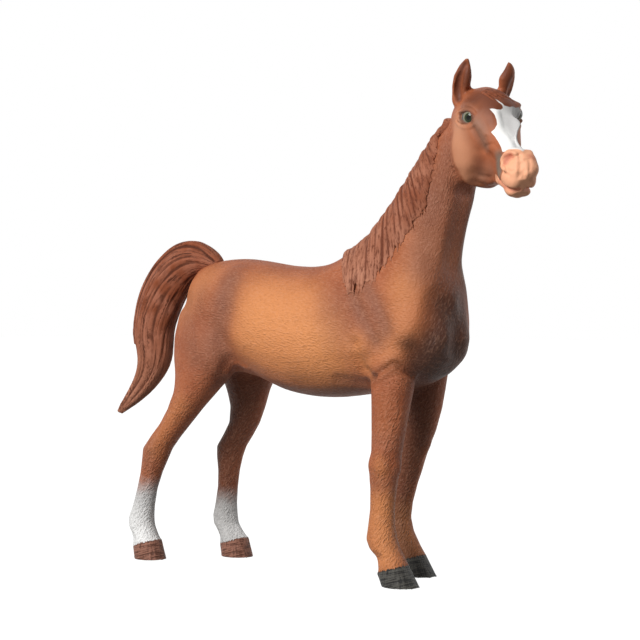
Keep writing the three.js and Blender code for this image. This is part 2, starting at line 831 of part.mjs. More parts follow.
function build() {
  const trunkGeometry = trunkSkin(0);
  const trunk = solidOf(trunkGeometry);
  const trunkGrown = solidOf(trunkSkin(seamGap));
  const cavityStations = trunkStations().slice(cavityFirst, cavityLast);
  const cavity = solidOf(skin(cavityStations, { sides: cavitySides, steps: 1, grow: -wall }));
  const legSkins = Object.fromEntries(Object.keys(legs).map((name) => [name, legSkin(legs[name])]));
  const head = headSolid();
  const headGrown = solidOf(headSkin(seamGap).applyMatrix4(headFrame()));
  const post = neckPost(0).intersect(trunk);
  const parts = {
    trunk,
    cavity,
    legSkins,
    cutters: [headGrown, neckPost(seamGap), tailPeg(seamGap)],
  };
  const figure = new THREE.Group();
  figure.add(pieceOf("body_shell_right", bodyShell(rightSide, parts), coat));
  figure.add(pieceOf("body_shell_left", bodyShell(leftSide, parts), coat));
  figure.add(pieceOf("head", head.add(post), coat));
  const mane = maneSolid(trunkGeometry).subtract(trunkGrown).subtract(headGrown);
  figure.add(pieceOf("mane", largestOf(mane), hair));
  const tail = solidOf(skin(tailStations(), { sides: tailSides, flute: tailFlute }));
  figure.add(pieceOf("tail", tail.subtract(trunkGrown).add(tailPeg(0)), hair));
  for (const name of Object.keys(legs)) {
    figure.add(pieceOf(name, legSolid(name, legSkins, trunkGrown), legCoat));
  }
  return standingOnOrigin(figure);
}

// Sets the middle of the figure's footprint box on the origin.
function standingOnOrigin(figure) {
  const bounds = new THREE.Box3().setFromObject(figure, true);
  const middle = bounds.getCenter(new THREE.Vector3());
  for (const piece of figure.children) piece.geometry.translate(-middle.x, -middle.y, -bounds.min.z);
  return figure;
}

export default build();
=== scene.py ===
import math

import bmesh
import bpy
import numpy as np
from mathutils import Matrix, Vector
from mathutils.bvhtree import BVHTree
from mathutils.kdtree import KDTree


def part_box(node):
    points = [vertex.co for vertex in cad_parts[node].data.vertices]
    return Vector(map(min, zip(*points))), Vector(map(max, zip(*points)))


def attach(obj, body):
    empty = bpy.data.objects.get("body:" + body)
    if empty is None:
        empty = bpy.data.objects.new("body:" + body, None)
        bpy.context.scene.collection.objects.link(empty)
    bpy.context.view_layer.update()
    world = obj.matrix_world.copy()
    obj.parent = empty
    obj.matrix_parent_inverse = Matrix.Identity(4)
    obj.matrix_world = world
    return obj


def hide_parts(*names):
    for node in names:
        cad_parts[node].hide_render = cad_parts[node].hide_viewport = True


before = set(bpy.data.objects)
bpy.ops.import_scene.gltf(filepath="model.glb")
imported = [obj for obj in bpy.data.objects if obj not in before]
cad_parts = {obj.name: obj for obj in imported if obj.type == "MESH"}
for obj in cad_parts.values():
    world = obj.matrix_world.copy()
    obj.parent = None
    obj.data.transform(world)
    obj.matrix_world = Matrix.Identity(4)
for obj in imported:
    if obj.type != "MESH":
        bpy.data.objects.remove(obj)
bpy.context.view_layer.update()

# Camera
# A long lens looks level at the horse's right side, from in front of the shoulder. All places in this script
# are worked out in millimetres and set down in metres.

MM = 0.001
camera_place = Vector((246.2, -318.1, 58.0))
camera_turn = math.radians(37.6)
camera_lens = 98.3
sensor = 36.0
picture = 640


def placed(name, data):
    """Adds an object to the scene."""
    thing = bpy.data.objects.new(name, data)
    bpy.context.scene.collection.objects.link(thing)
    return thing


lens = bpy.data.cameras.new("camera")
lens.lens = camera_lens
lens.sensor_width = sensor
lens.clip_start = 10 * MM
camera = placed("camera", lens)
camera.location = camera_place * MM
camera.rotation_euler = (math.pi / 2, 0, camera_turn)
bpy.context.scene.camera = camera


def sight(u, v):
    """The direction from the camera through a point of the picture."""
    focus = picture * camera_lens / sensor
    right = Vector((math.cos(camera_turn), math.sin(camera_turn), 0))
    deep = Vector((-math.sin(camera_turn), math.cos(camera_turn), 0))
    across, up = (u - picture / 2) / focus, (picture / 2 - v) / focus
    return (deep + right * across + Vector((0, 0, up))).normalized()


# The modelled form
# The sculptor models the whole horse first and parts it into mouldings afterwards, so that no seam shows in
# the coat. Body, head, legs and tail are welded into one form here, evened out, and parted at the seams.

mouldings = [
    "body_shell_right",
    "body_shell_left",
    "head",
    "foreleg_right",
    "foreleg_left",
    "hindleg_right",
    "hindleg_left",
    "tail",
]
glue_line = 0.2
grid = 0.38


def welded(name):
    """The corners (mm), corner normals and faces of a moulding, with its loose facets welded."""
    shell = bmesh.new()
    shell.from_mesh(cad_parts[name].data)
    bmesh.ops.remove_doubles(shell, verts=shell.verts, dist=2e-6)
    shell.normal_update()
    corners = [v.co / MM for v in shell.verts]
    outward = [v.normal.copy() for v in shell.verts]
    faces = [[v.index for v in f.verts] for f in shell.faces]
    shell.free()
    return corners, outward, faces


def made_of(holder):
    """The mesh that an object's modifiers make, and its points. The object itself goes."""
    made = bpy.data.meshes.new_from_object(holder.evaluated_get(bpy.context.evaluated_depsgraph_get()))
    points = np.empty(len(made.vertices) * 3)
    made.vertices.foreach_get("co", points)
    bpy.data.objects.remove(holder)
    return made, points.reshape(-1, 3)


def evened(corners, faces, size):
    """One closed skin of small even squares round all that is given."""
    draft = bpy.data.meshes.new("draft")
    draft.from_pydata(corners, [], faces)
    holder = placed("draft", draft)
    even = holder.modifiers.new("even", "REMESH")
    even.mode = "VOXEL"
    even.voxel_size = size
    made, points = made_of(holder)
    squares = np.empty(len(made.loops), np.int64)
    made.loops.foreach_get("vertex_index", squares)
    bpy.data.meshes.remove(draft)
    bpy.data.meshes.remove(made)
    return points, squares.reshape(-1, 4)


def sides_of(squares):
    """The four sides of all squares, as two point numbers each."""
    return np.concatenate([squares[:, [i, (i + 1) % 4]] for i in range(4)])


def edges_of(squares):
    """Each edge of the skin once."""
    return np.unique(np.sort(sides_of(squares), axis=1), axis=0)


def renumbered(squares):
    """The points that some squares use, and the squares in those points' own numbers."""
    used, own = np.unique(squares, return_inverse=True)
    return used, own.reshape(squares.shape)


def islands(count, edges):
    """A number for each point that is the same all over one connected patch."""
    label = np.arange(count)
    while True:
        low = label.copy()
        np.minimum.at(low, edges[:, 0], label[edges[:, 1]])
        np.minimum.at(low, edges[:, 1], label[edges[:, 0]])
        low = low[low]
        if (low == label).all():
            return label
        label = low


def outer_skin(points, squares):
    """The largest patch alone, without the skins of hollows inside it."""
    label = islands(len(points), edges_of(squares))
    biggest = np.bincount(label).argmax()
    used, squares = renumbered(squares[label[squares[:, 0]] == biggest])
    return points[used], squares


def neighbour_mean(values, edges, rounds=1):
    """For each point the mean of its neighbours' values."""
    first, second = edges.T
    count = len(values)
    degree = np.bincount(edges.ravel(), minlength=count)[:, None]
    for _ in range(rounds):
        columns = []
        for column in values.T:
            onwards = np.bincount(first, column[second], count)
            backwards = np.bincount(second, column[first], count)
            columns.append(onwards + backwards)
        values = np.stack(columns, 1) / degree
    return values


def drawn_in(points, edges, share, rounds):
    """Draws each point by a share towards the middle of its neighbours."""
    for _ in range(rounds):
        points = points + share * (neighbour_mean(points, edges) - points)
    return points


def softened(points, edges, give, rounds):
    """Evens out facets up to a few millimetres wide, and puts back the volume that each pass lost."""
    result, rest = np.zeros_like(points), points
    for _ in range(3):
        part = drawn_in(rest, edges, give[:, None], rounds)
        result, rest = result + part, rest - part
    return result


def normals_of(points, squares):
    """The outward direction at each point."""
    a, b, c, d = (points[squares[:, i]] for i in range(4))
    facing = np.cross(c - a, d - b)
    columns = []
    for part in facing.T:
        columns.append(sum(np.bincount(squares[:, i], part, len(points)) for i in range(4)))
    total = np.stack(columns, 1)
    return total / np.maximum(np.linalg.norm(total, axis=1, keepdims=True), 1e-9)


corners, outward, faces, owner = [], [], [], []
for number, name in enumerate(mouldings):
    own_corners, own_outward, own_faces = welded(name)
    start = len(corners)
    corners += own_corners
    outward += own_outward
    faces += [[start + i for i in face] for face in own_faces]
    owner += [number] * len(own_faces)
grown = [corner + normal * glue_line for corner, normal in zip(corners, outward)]
form, squares = outer_skin(*evened(grown, faces, grid))
edges = edges_of(squares)

# Each point belongs to the nearest moulding. The borders are evened out, and stray patches join a neighbour.
border_rounds = 12
mould_skin = BVHTree.FromPolygons(corners, faces)
owner = np.array(owner)
nearest = owner[[mould_skin.find_nearest(Vector(p))[2] for p in form]]
share = np.eye(len(mouldings))[nearest]
for _ in range(border_rounds):
    share = (share + neighbour_mean(share, edges)) / 2
moulding = share.argmax(1)
for number in range(len(mouldings)):
    own = moulding == number
    inside = edges[own[edges].all(1)]
    label = islands(len(form), inside)
    label[~own] = -1
    values, counts = np.unique(label[own], return_counts=True)
    stray = own & (label != values[counts.argmax()])
    share[stray, number] = -1
    moulding[stray] = share[stray].argmax(1)

# The head's own frame: x from the poll to the lips, y to its left, z out of the forehead.
poll = np.array([44.9, 0.39, 107.7])
head_yaw, head_pitch, head_roll = (math.radians(a) for a in (-36, 31, 2.5))


def turn_about(axis, angle):
    """The matrix of a turn about one axis."""
    c, s = math.cos(angle), math.sin(angle)
    i, j = [(1, 2), (2, 0), (0, 1)][axis]
    turn = np.eye(3)
    turn[i, i] = turn[j, j] = c
    turn[i, j], turn[j, i] = -s, s
    return turn


head_turn = turn_about(2, head_yaw) @ turn_about(1, head_pitch) @ turn_about(0, head_roll)


def in_head(points):
    """Places in the head's own frame."""
    return (points - poll) @ head_turn


# How much each part is evened out: fully on the body, and little where the solids already have fine facets.
body_give, leg_give, head_give, ear_give, muzzle_give, hoof_give = 1.0, 0.13, 0.3, 0.06, 0.6, 0.05
coronet_height = 5.5
give_rounds, form_rounds = 6, 40
HEAD = mouldings.index("head")
along_head, across_head, above_head = in_head(form).T
ear_part = (along_head < 7) & (above_head > -1.5) & (np.abs(across_head) > 2)
ear_part |= (above_head > 1.6) & (along_head < 5)
muzzle_part = (along_head > 21) & (along_head < 29)
give = np.where(moulding < 2, body_give, leg_give)
give[moulding == HEAD] = head_give
give[(moulding == HEAD) & ear_part] = ear_give
give[form[:, 2] < coronet_height] = hoof_give
give[(moulding == HEAD) & muzzle_part] = muzzle_give
give = neighbour_mean(give[:, None], edges, give_rounds)[:, 0]
form = softened(form, edges, give, form_rounds)
form -= normals_of(form, squares) * glue_line

# Carving
# Muscles, grooves and folds are pushed up or down along soft strokes. A stroke is drawn as points of the
# picture, which find their place on the form, and the other side gets the same stroke mirrored.

middle = (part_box("body_shell_right")[1].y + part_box("body_shell_left")[0].y) / 2 / MM


def skin_of(points, squares):
    """The form as it stands, for finding places on it."""
    return BVHTree.FromPolygons([Vector(p) for p in points], squares.tolist())


def seen(skin, path):
    """Where points of the picture fall on a skin."""
    found = []
    for u, v in path:
        ray = sight(u, v)
        hit = skin.ray_cast(camera_place, ray)[0]
        if hit is None:
            middle_place = Vector((0, middle, camera_place.z))
            far = (middle_place - camera_place).dot(ray)
            hit = skin.find_nearest(camera_place + ray * far)[0]
        found.append(hit)
    return np.array(found)


def mirrored(path):
    """The same path on the other side of the horse's middle plane."""
    return path * (1, -1, 1) + (0, 2 * middle, 0)


def nearness(points, path, radius):
    """1 on a path, falling softly to 0 at the radius."""
    path = np.atleast_2d(path)
    if len(path) == 1:
        path = np.repeat(path, 2, 0)
    near = np.zeros(len(points))
    low, high = path.min(0) - radius, path.max(0) + radius
    around = np.flatnonzero(((points > low) & (points < high)).all(1))
    spot = points[around]
    best = np.full(len(around), np.inf)
    for start, end in zip(path[:-1], path[1:]):
        along = end - start
        where = np.clip((spot - start) @ along / max(along @ along, 1e-9), 0, 1)
        best = np.minimum(best, np.linalg.norm(spot - start - where[:, None] * along, axis=1))
    level = np.clip(1 - (best / radius) ** 2, 0, 1)
    near[around] = level * level
    return near


def carve(points, squares, path, radius, height):
    """Raises the form along a path, or lowers it where the height is less than 0."""
    amount = nearness(points, path, radius) * height
    return points + normals_of(points, squares) * amount[:, None]


def moved(points, path, radius, right, up):
    """Pushes the form sideways and up, as the picture shows it."""
    way = np.array([math.cos(camera_turn) * right, math.sin(camera_turn) * right, up])
    return points + nearness(points, path, radius)[:, None] * way


# Columns: points of the picture, radius in mm, and how far right and up the form moves in mm.
form_moves = [
    ([(458, 164), (462, 176), (468, 181)], 8.0, -1.35, -0.7),
    ([(455, 118), (455, 140)], 7.0, -0.3, 0.0),
    ([(523.5, 127), (521.5, 137), (522, 148)], 5.5, -1.9, 0.0),
    ([(460, 98), (462, 78), (468, 62)], 6.5, -0.65, 0.0),
    ([(510, 124), (512, 132), (514, 140), (518, 147)], 4.6, 2.5, 0.0),
    ([(528, 157), (531, 163)], 4.0, 1.4, 0.0),
    ([(531, 155), (534, 160)], 3.2, 0.8, -0.25),
    ([(523, 110), (524, 114)], 2.5, 0.8, 0.0),
    ([(511, 72), (513, 92)], 3.2, 0.7, 0.0),
    ([(500, 78), (498, 90)], 2.2, -0.4, 0.0),
    ([(366.5, 535), (367.5, 546)], 3.2, -0.5, 0.0),
    ([(378, 557)], 2.0, 0.5, 0.0),
    ([(370.5, 464)], 3.0, -0.4, 0.0),
    ([(399, 468)], 2.6, 0.3, 0.0),
    ([(130, 514), (131, 526)], 2.8, -0.3, 0.0),
    ([(142, 449)], 2.0, -0.35, 0.0),
]
skin = skin_of(form, squares)
for pixels, radius, right, up in form_moves:
    form = moved(form, seen(skin, pixels), radius, right, up)

# Columns: points of the picture, radius and height in mm.
body_strokes = [
    ([(231, 282), (227, 305), (223, 330), (225, 350)], 4.5, -0.55),
    ([(238, 300), (236, 335)], 7, 0.3),
    ([(226, 362), (238, 368), (252, 374)], 3, -0.5),
    ([(188, 300), (189, 330), (193, 362)], 3.4, -0.4),
    ([(203, 310), (205, 345)], 8, 0.5),
    ([(236, 276)], 6, 0.4),
    ([(355, 296), (364, 318), (377, 342)], 2.6, -0.45),
    ([(372, 290), (381, 312), (390, 334)], 2.6, -0.4),
    ([(364, 300), (373, 320), (384, 340)], 3, 0.25),
    ([(355, 345), (358, 357), (364, 369), (373, 380)], 2.4, -0.8),
    ([(367, 346), (373, 363)], 6, 0.5),
    ([(231, 360), (225, 368), (219, 379)], 2.2, -0.25),
    ([(246, 368), (236, 366), (228, 372)], 2, 0.35),
    ([(166, 412), (157, 430), (150, 442)], 1.6, -0.35),
    ([(150, 455), (147, 470), (145, 485)], 1.2, -0.25),
    ([(380, 454), (381, 468)], 2.4, 0.42),
    ([(399, 305), (401, 335)], 9, 0.5),
    ([(437, 300), (431, 328), (418, 350), (409, 366)], 4, -0.8),
    ([(448, 306), (455, 328), (458, 350)], 3, -0.6),
    ([(462, 195), (458, 225), (453, 255), (446, 285)], 3.5, -0.4),
    ([(340, 380), (355, 382), (368, 383)], 2.4, -0.4),
    ([(480, 187), (468, 190), (455, 188)], 3, -0.3),
]
skin = skin_of(form, squares)
for pixels, radius, height in body_strokes:
    path = seen(skin, pixels)
    form = carve(form, squares, path, radius, height)
    form = carve(form, squares, mirrored(path), radius, height)
# The forelegs' seam is a chevron under the shoulder, with a thin raised edge below it. The left leg stands
# further back, so its seam is drawn further back too.
leg_seam = [(371, 381), (383, 371), (394, 364), (404, 370), (414, 377)]
leg_seam_low = [(373, 384), (384, 375), (394, 368), (404, 374), (412, 380)]
left_leg_back = (5, 0, 0)
for pixels, radius, height in ((leg_seam, 1.2, -0.6), (leg_seam_low, 1.2, 0.3)):
    path = seen(skin, pixels)
    form = carve(form, squares, path, radius, height)
    form = carve(form, squares, mirrored(path) - left_leg_back, radius, height)

# Coat paint and painted light
# The maker sprays a lighter tan on the barrel, shoulder and lower forelegs and dark paint on the chest. The
# tan also stands in for light on lit parts such as the knees, a greyish painted shade lies in the hollows and
# creases, and the dark is also painted shade on the belly, the chest and under folds. The three are kept on
# the skin as one field of three parts.

# Columns: points of the picture, radius in mm and strength.
# Tan paint. The short stroke on the knee is a painted highlight.
tan_and_highlight_strokes = [
    ([(262, 318), (290, 325), (315, 345)], 13, 1.0),
    ([(250, 340), (285, 360), (320, 368)], 12, 0.7),
    ([(255, 290), (300, 300)], 10, 0.5),
    ([(205, 280), (190, 300)], 9, 0.4),
    ([(402, 290), (402, 330), (388, 350)], 7, 0.45),
    ([(420, 250), (410, 280)], 9, 0.22),
    ([(358, 345), (366, 365)], 5, 0.7),
    ([(180, 405), (165, 425), (153, 450)], 4.5, 0.35),
    ([(379, 464), (381, 474)], 3.0, 0.45),
    ([(382, 506), (382, 530), (385, 560)], 6, 0.75),
    ([(403, 514), (403, 535), (410, 550)], 5, 0.6),
    ([(383, 400), (385, 430)], 4, 0.1),
]
# A greyish painted shade in the hollows and creases, under the mane and down the neck.
painted_shade_strokes = [
    ([(231, 282), (226, 305), (220, 335), (224, 355)], 5, 0.75),
    ([(235, 270), (222, 300)], 4, 0.4),
    ([(188, 305), (187, 335), (194, 360)], 4, 0.45),
    ([(205, 345), (212, 365)], 5, 0.35),
    ([(355, 296), (364, 318), (378, 343)], 2.8, 0.9),
    ([(366, 285), (380, 312), (388, 330)], 3.2, 0.85),
    ([(345, 300), (350, 330)], 5, 0.3),
    ([(330, 300), (335, 340)], 6, 0.35),
    ([(440, 180), (450, 150), (440, 200)], 6, 0.7),
    ([(470, 190), (462, 215), (458, 245)], 3, 0.4),
    ([(425, 200), (432, 235), (428, 265)], 8, 0.75),
    ([(200, 300), (200, 350)], 9, 0.3),
    ([(374, 482), (392, 484)], 3.2, 0.4),
    ([(376, 440), (394, 442)], 4.0, 0.35),
    ([(340, 380), (362, 384)], 4, 0.6),
    ([(150, 445), (148, 470)], 4, 0.5),
]
# Dark paint on the chest, and painted shade on the chest, the belly, the stifle fold and the forelegs' seam.
dark_paint_and_shade_strokes = [
    ([(446, 300), (452, 330), (452, 355), (445, 372)], 8, 0.6),
    ([(430, 343), (417, 364)], 5, 0.9),
    ([(438, 358), (432, 372)], 6, 0.9),
    ([(447, 360), (441, 373)], 5, 0.8),
    ([(445, 310), (441, 338)], 6, 0.75),
    ([(224, 371), (215, 385)], 3.5, 0.25),
    ([(285, 392), (325, 394), (355, 391)], 5, 0.6),
    ([(300, 378), (335, 384)], 6, 0.25),
    ([(372, 381), (394, 366), (413, 377)], 2.2, 0.5),
    ([(250, 378), (262, 388)], 4, 0.5),
]


def layered(points, skin, strokes):
    """How thick a layer of paint or painted light lies at each point. Overlapping strokes add up softly."""
    amount = np.zeros(len(points))
    for pixels, radius, height in strokes:
        path = seen(skin, pixels)
        for side in (path, mirrored(path)):
            amount = amount + (1 - amount) * nearness(points, side, radius) * height
    return amount


def stand(low, high, values):
    """0 below low, 1 above high, eased between."""
    t = np.clip((values - low) / (high - low), 0, 1)
    return t * t * (3 - 2 * t)


skin = skin_of(form, squares)
paint_and_light_layers = (tan_and_highlight_strokes, painted_shade_strokes, dark_paint_and_shade_strokes)
paint_and_light = np.stack([layered(form, skin, strokes) for strokes in paint_and_light_layers], 1)

# Painted shade is added to the dark part by the way the skin faces: inside the legs, where the body shades
# them, down the neck's front, which faces away from the lamp, and under the breast. All three are then let
# run into each other a little.
inner_leg_shadow_strength, neck_front_shade_strength, breast_shade_strength = 0.7, 0.75, 0.8
paint_and_light_rounds = 10
ahead, _, height = form.T
facing = normals_of(form, squares)
forward, leftward, upward = facing.T
inward = -leftward * np.sign(form[:, 1] - middle)
legs = 1 - stand(40, 52, height)
throat = stand(56, 66, height) * (1 - stand(84, 96, height))
breast = stand(18, 26, ahead) * stand(38, 42, height) * (1 - stand(54, 62, height))
inner_leg_shadow = stand(-0.2, 0.7, inward) * legs * inner_leg_shadow_strength
neck_front_shade = stand(0.45, 0.7, forward) * stand(-0.15, 0.3, leftward) * throat * neck_front_shade_strength
breast_underside_shade = stand(0.0, 0.55, -upward) * breast * breast_shade_strength
paint_and_light[:, 2] = np.maximum(paint_and_light[:, 2], np.maximum.reduce([inner_leg_shadow, neck_front_shade, breast_underside_shade]))
paint_and_light = neighbour_mean(paint_and_light, edges, paint_and_light_rounds)

# Which way the hair lies: down the neck, down the legs, breast and buttocks, or else along the barrel. The
# third part is how high its relief is, which is low on the smooth face.
face_rounds = 45
face_relief = 0.12
neck_hair = stand(70, 82, height) * stand(12, 24, ahead)
breast_hair = stand(28, 40, ahead) * (1 - neck_hair)
leg_hair = np.maximum.reduce([1 - stand(36, 46, height), breast_hair, 1 - stand(-36, -27, ahead)])
smooth_face = neighbour_mean((moulding == HEAD).astype(float)[:, None], edges, face_rounds)
hair_relief = 1 - (1 - face_relief) * stand(0.5, 1, smooth_face[:, 0])
lie = np.stack([neck_hair, leg_hair, hair_relief], 1)


def parted(name, points, squares, facing, fields):
    """A closed moulding cut from the form: its own part of the skin, with flat faces over the seams."""
    used, own_squares = renumbered(squares)
    mesh = bpy.data.meshes.new(name)
    mesh.from_pydata(points[used] * MM, [], own_squares.tolist())
    for field, values in fields.items():
        kind, channel = ("FLOAT_VECTOR", "vector") if values.ndim == 2 else ("FLOAT", "value")
        layer = mesh.attributes.new(field, kind, "POINT")
        layer.data.foreach_set(channel, values[used].astype(np.float32).ravel())
    body = bmesh.new()
    body.from_mesh(mesh)
    outside = len(body.faces)
    rim = [e for e in body.edges if len(e.link_faces) == 1]
    if rim:
        made = bmesh.ops.holes_fill(body, edges=rim, sides=0)
        bmesh.ops.triangulate(body, faces=made["faces"])
    body.to_mesh(mesh)
    body.free()
    for polygon in mesh.polygons:
        polygon.use_smooth = True
    corner = np.empty(len(mesh.loops), np.int64)
    mesh.loops.foreach_get("vertex_index", corner)
    normals = facing[used][corner]
    for polygon in mesh.polygons[outside:]:
        normals[polygon.loop_start : polygon.loop_start + polygon.loop_total] = polygon.normal
    mesh.normals_split_custom_set(normals.tolist())
    return placed(name, mesh)


# Coat material
# Painted PVC: satin, chestnut, with short moulded hair strokes that catch the light. The strokes lie along
# the barrel and down the neck and legs, and the paint is a little thinner, so lighter, on their tops.

coat_roughness, coat_gloss = 0.54, 0.22
coat_relief, coat_relief_strength = 0.36, 0.9


def linear(colour):
    """The linear value of an sRGB hex colour."""
    parts = [int(colour[i : i + 2], 16) / 255 for i in (1, 3, 5)]
    return tuple(p / 12.92 if p <= 0.04045 else ((p + 0.055) / 1.055) ** 2.4 for p in parts) + (1.0,)


def add(tree, kind, sockets=None, out=0, **settings):
    """Adds a node with its settings, and its inputs as values or links. Gives one output, or for None all."""
    node = tree.nodes.new(kind)
    for name, value in settings.items():
        setattr(node, name, value)
    for name, value in (sockets or {}).items():
        if isinstance(value, bpy.types.NodeSocket):
            tree.links.new(value, node.inputs[name])
        else:
            node.inputs[name].default_value = value
    return node.outputs if out is None else node.outputs[out]


def coated(tree, under, over, cover, start=None, end=None, strength=None):
    """Paint over paint, as far as the cover goes: from none at start to full at end, times a strength."""
    if start is not None:
        sockets = {0: cover, 1: start, 2: end}
        cover = add(tree, "ShaderNodeMapRange", sockets, interpolation_type="SMOOTHSTEP")
    if strength is not None:
        cover = add(tree, "ShaderNodeMath", {0: cover, 1: strength}, operation="MULTIPLY")
    under, over = (linear(paint) if isinstance(paint, str) else paint for paint in (under, over))
    return add(tree, "ShaderNodeMix", {0: cover, 6: under, 7: over}, 2, data_type="RGBA", clamp_factor=True)


def parts_of(tree, field):
    """The three parts of a field that is kept on the skin."""
    vector = add(tree, "ShaderNodeAttribute", out="Vector", attribute_name=field)
    return add(tree, "ShaderNodeSeparateXYZ", {0: vector}, None)


def place_mm(tree):
    """The place on the horse in millimetres."""
    sockets = {0: add(tree, "ShaderNodeTexCoord", out="Object"), 1: (1 / MM, 1 / MM, 1 / MM)}
    return add(tree, "ShaderNodeVectorMath", sockets, operation="MULTIPLY")


def hair_strokes(tree, place, turn, size):
    """Short strokes of moulded hair of a size in mm, which lie along the longest axis of a turned grid."""
    sockets = {"Vector": place, "Rotation": turn, "Scale": size}
    turned = add(tree, "ShaderNodeMapping", sockets, vector_type="TEXTURE")
    sockets = {"Vector": turned, "Scale": 1.0, "Detail": 2.0, "Roughness": 0.5, "Distortion": 0.35}
    return add(tree, "ShaderNodeTexNoise", sockets, "Fac")


def satin(name):
    """A new satin PVC paint, with its tree and its shader."""
    material = bpy.data.materials.new(name)
    material.use_nodes = True
    tree = material.node_tree
    shader = tree.nodes["Principled BSDF"]
    shader.inputs["Roughness"].default_value = coat_roughness
    shader.inputs["Specular IOR Level"].default_value = coat_gloss
    return material, tree, shader


def coat_colour(tree, place, tan="#DB8F58"):
    """Chestnut with tan, painted shade and dark paint over it. Gives the colour and the hair relief."""
    tan_and_highlight, painted_shade, dark_paint_and_shade = parts_of(tree, "paint_and_light")
    on_neck, on_legs, hair_height = parts_of(tree, "lie")
    # A third of a millimetre is the finest stroke that shows in the picture, so the hair is drawn that wide.
    along = hair_strokes(tree, place, (0, 0.15, 0), (0.85, 0.33, 0.33))
    neck = hair_strokes(tree, place, (0, 0.3, 0), (0.33, 0.33, 0.85))
    down = hair_strokes(tree, place, (-0.34, 0.47, 0), (0.4, 0.4, 1.0))
    hair = add(tree, "ShaderNodeMix", {0: on_neck, 2: along, 3: neck})
    hair = add(tree, "ShaderNodeMix", {0: on_legs, 2: hair, 3: down})
    level = add(tree, "ShaderNodeMath", {0: hair, 1: 0.5}, operation="SUBTRACT")
    relief = add(tree, "ShaderNodeMath", {0: level, 1: hair_height}, operation="MULTIPLY")
    top_paint = add(tree, "ShaderNodeMath", {0: hair_height, 1: 0.16}, operation="MULTIPLY")
    groove_paint = add(tree, "ShaderNodeMath", {0: hair_height, 1: 0.13}, operation="MULTIPLY")
    patch = add(tree, "ShaderNodeTexNoise", {"Vector": place, "Scale": 0.16, "Detail": 3.0}, "Fac")
    colour = coated(tree, "#9C5636", "#AA6240", patch, 0.35, 0.65)
    # Tan paint, which on the knees is a painted highlight.
    colour = coated(tree, colour, tan, tan_and_highlight)
    # Greyish painted shade in the hollows and creases.
    colour = coated(tree, colour, "#7F5645", painted_shade, strength=0.75)
    # Dark paint on the chest, and painted shade inside the legs, down the neck's front and under the breast
    # and belly.
    colour = coated(tree, colour, "#2A1A14", dark_paint_and_shade, strength=0.95)
    colour = coated(tree, colour, "#D9A183", hair, 0.46, 0.7, top_paint)
    colour = coated(tree, colour, "#5A2C1A", hair, 0.5, 0.3, groove_paint)
    return colour, relief


def dressed(tree, shader, colour, height, depth, strength):
    """Gives the shader its colour, and a relief of a depth in mm."""
    sockets = {"Height": height, "Distance": depth * MM, "Strength": strength}
    tree.links.new(add(tree, "ShaderNodeBump", sockets), shader.inputs["Normal"])
    tree.links.new(colour, shader.inputs["Base Color"])


coat_material, tree, shader = satin("satin painted pvc coat")
colour, relief = coat_colour(tree, place_mm(tree))
dressed(tree, shader, colour, relief, coat_relief, coat_relief_strength)

# Body shells
# The hollow body and neck are moulded as a right and a left half and glued along the back, chest and belly.
# The glue line is filled and painted over, so the halves meet without a gap.

square_owner = moulding[squares[:, 0]]
for name in ("body_shell_right", "body_shell_left"):
    own = squares[square_owner == mouldings.index(name)]
    piece = parted(name.replace("shell", "coat"), form, own, facing, {"paint_and_light": paint_and_light, "lie": lie})
    piece.data.materials.append(coat_material)
    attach(piece, "root")
    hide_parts(name)

# Legs
# Each leg is one moulding with its hoof. The hind legs have white socks that fade into the coat, with fine
# grey hairs; the hooves are painted dark grey in front and brown behind, with fine level growth lines.

hoof_centres = {"foreleg_right": 26.7, "foreleg_left": 20.1, "hindleg_right": -46.55, "hindleg_left": -32.75}
coronet_front, coronet_back, coronet_half = 4.9, 2.75, 3.6
sock_tops = {"hindleg_right": 18.2, "hindleg_left": 15.0}
hoof_relief, hoof_relief_strength = 0.5, 0.95


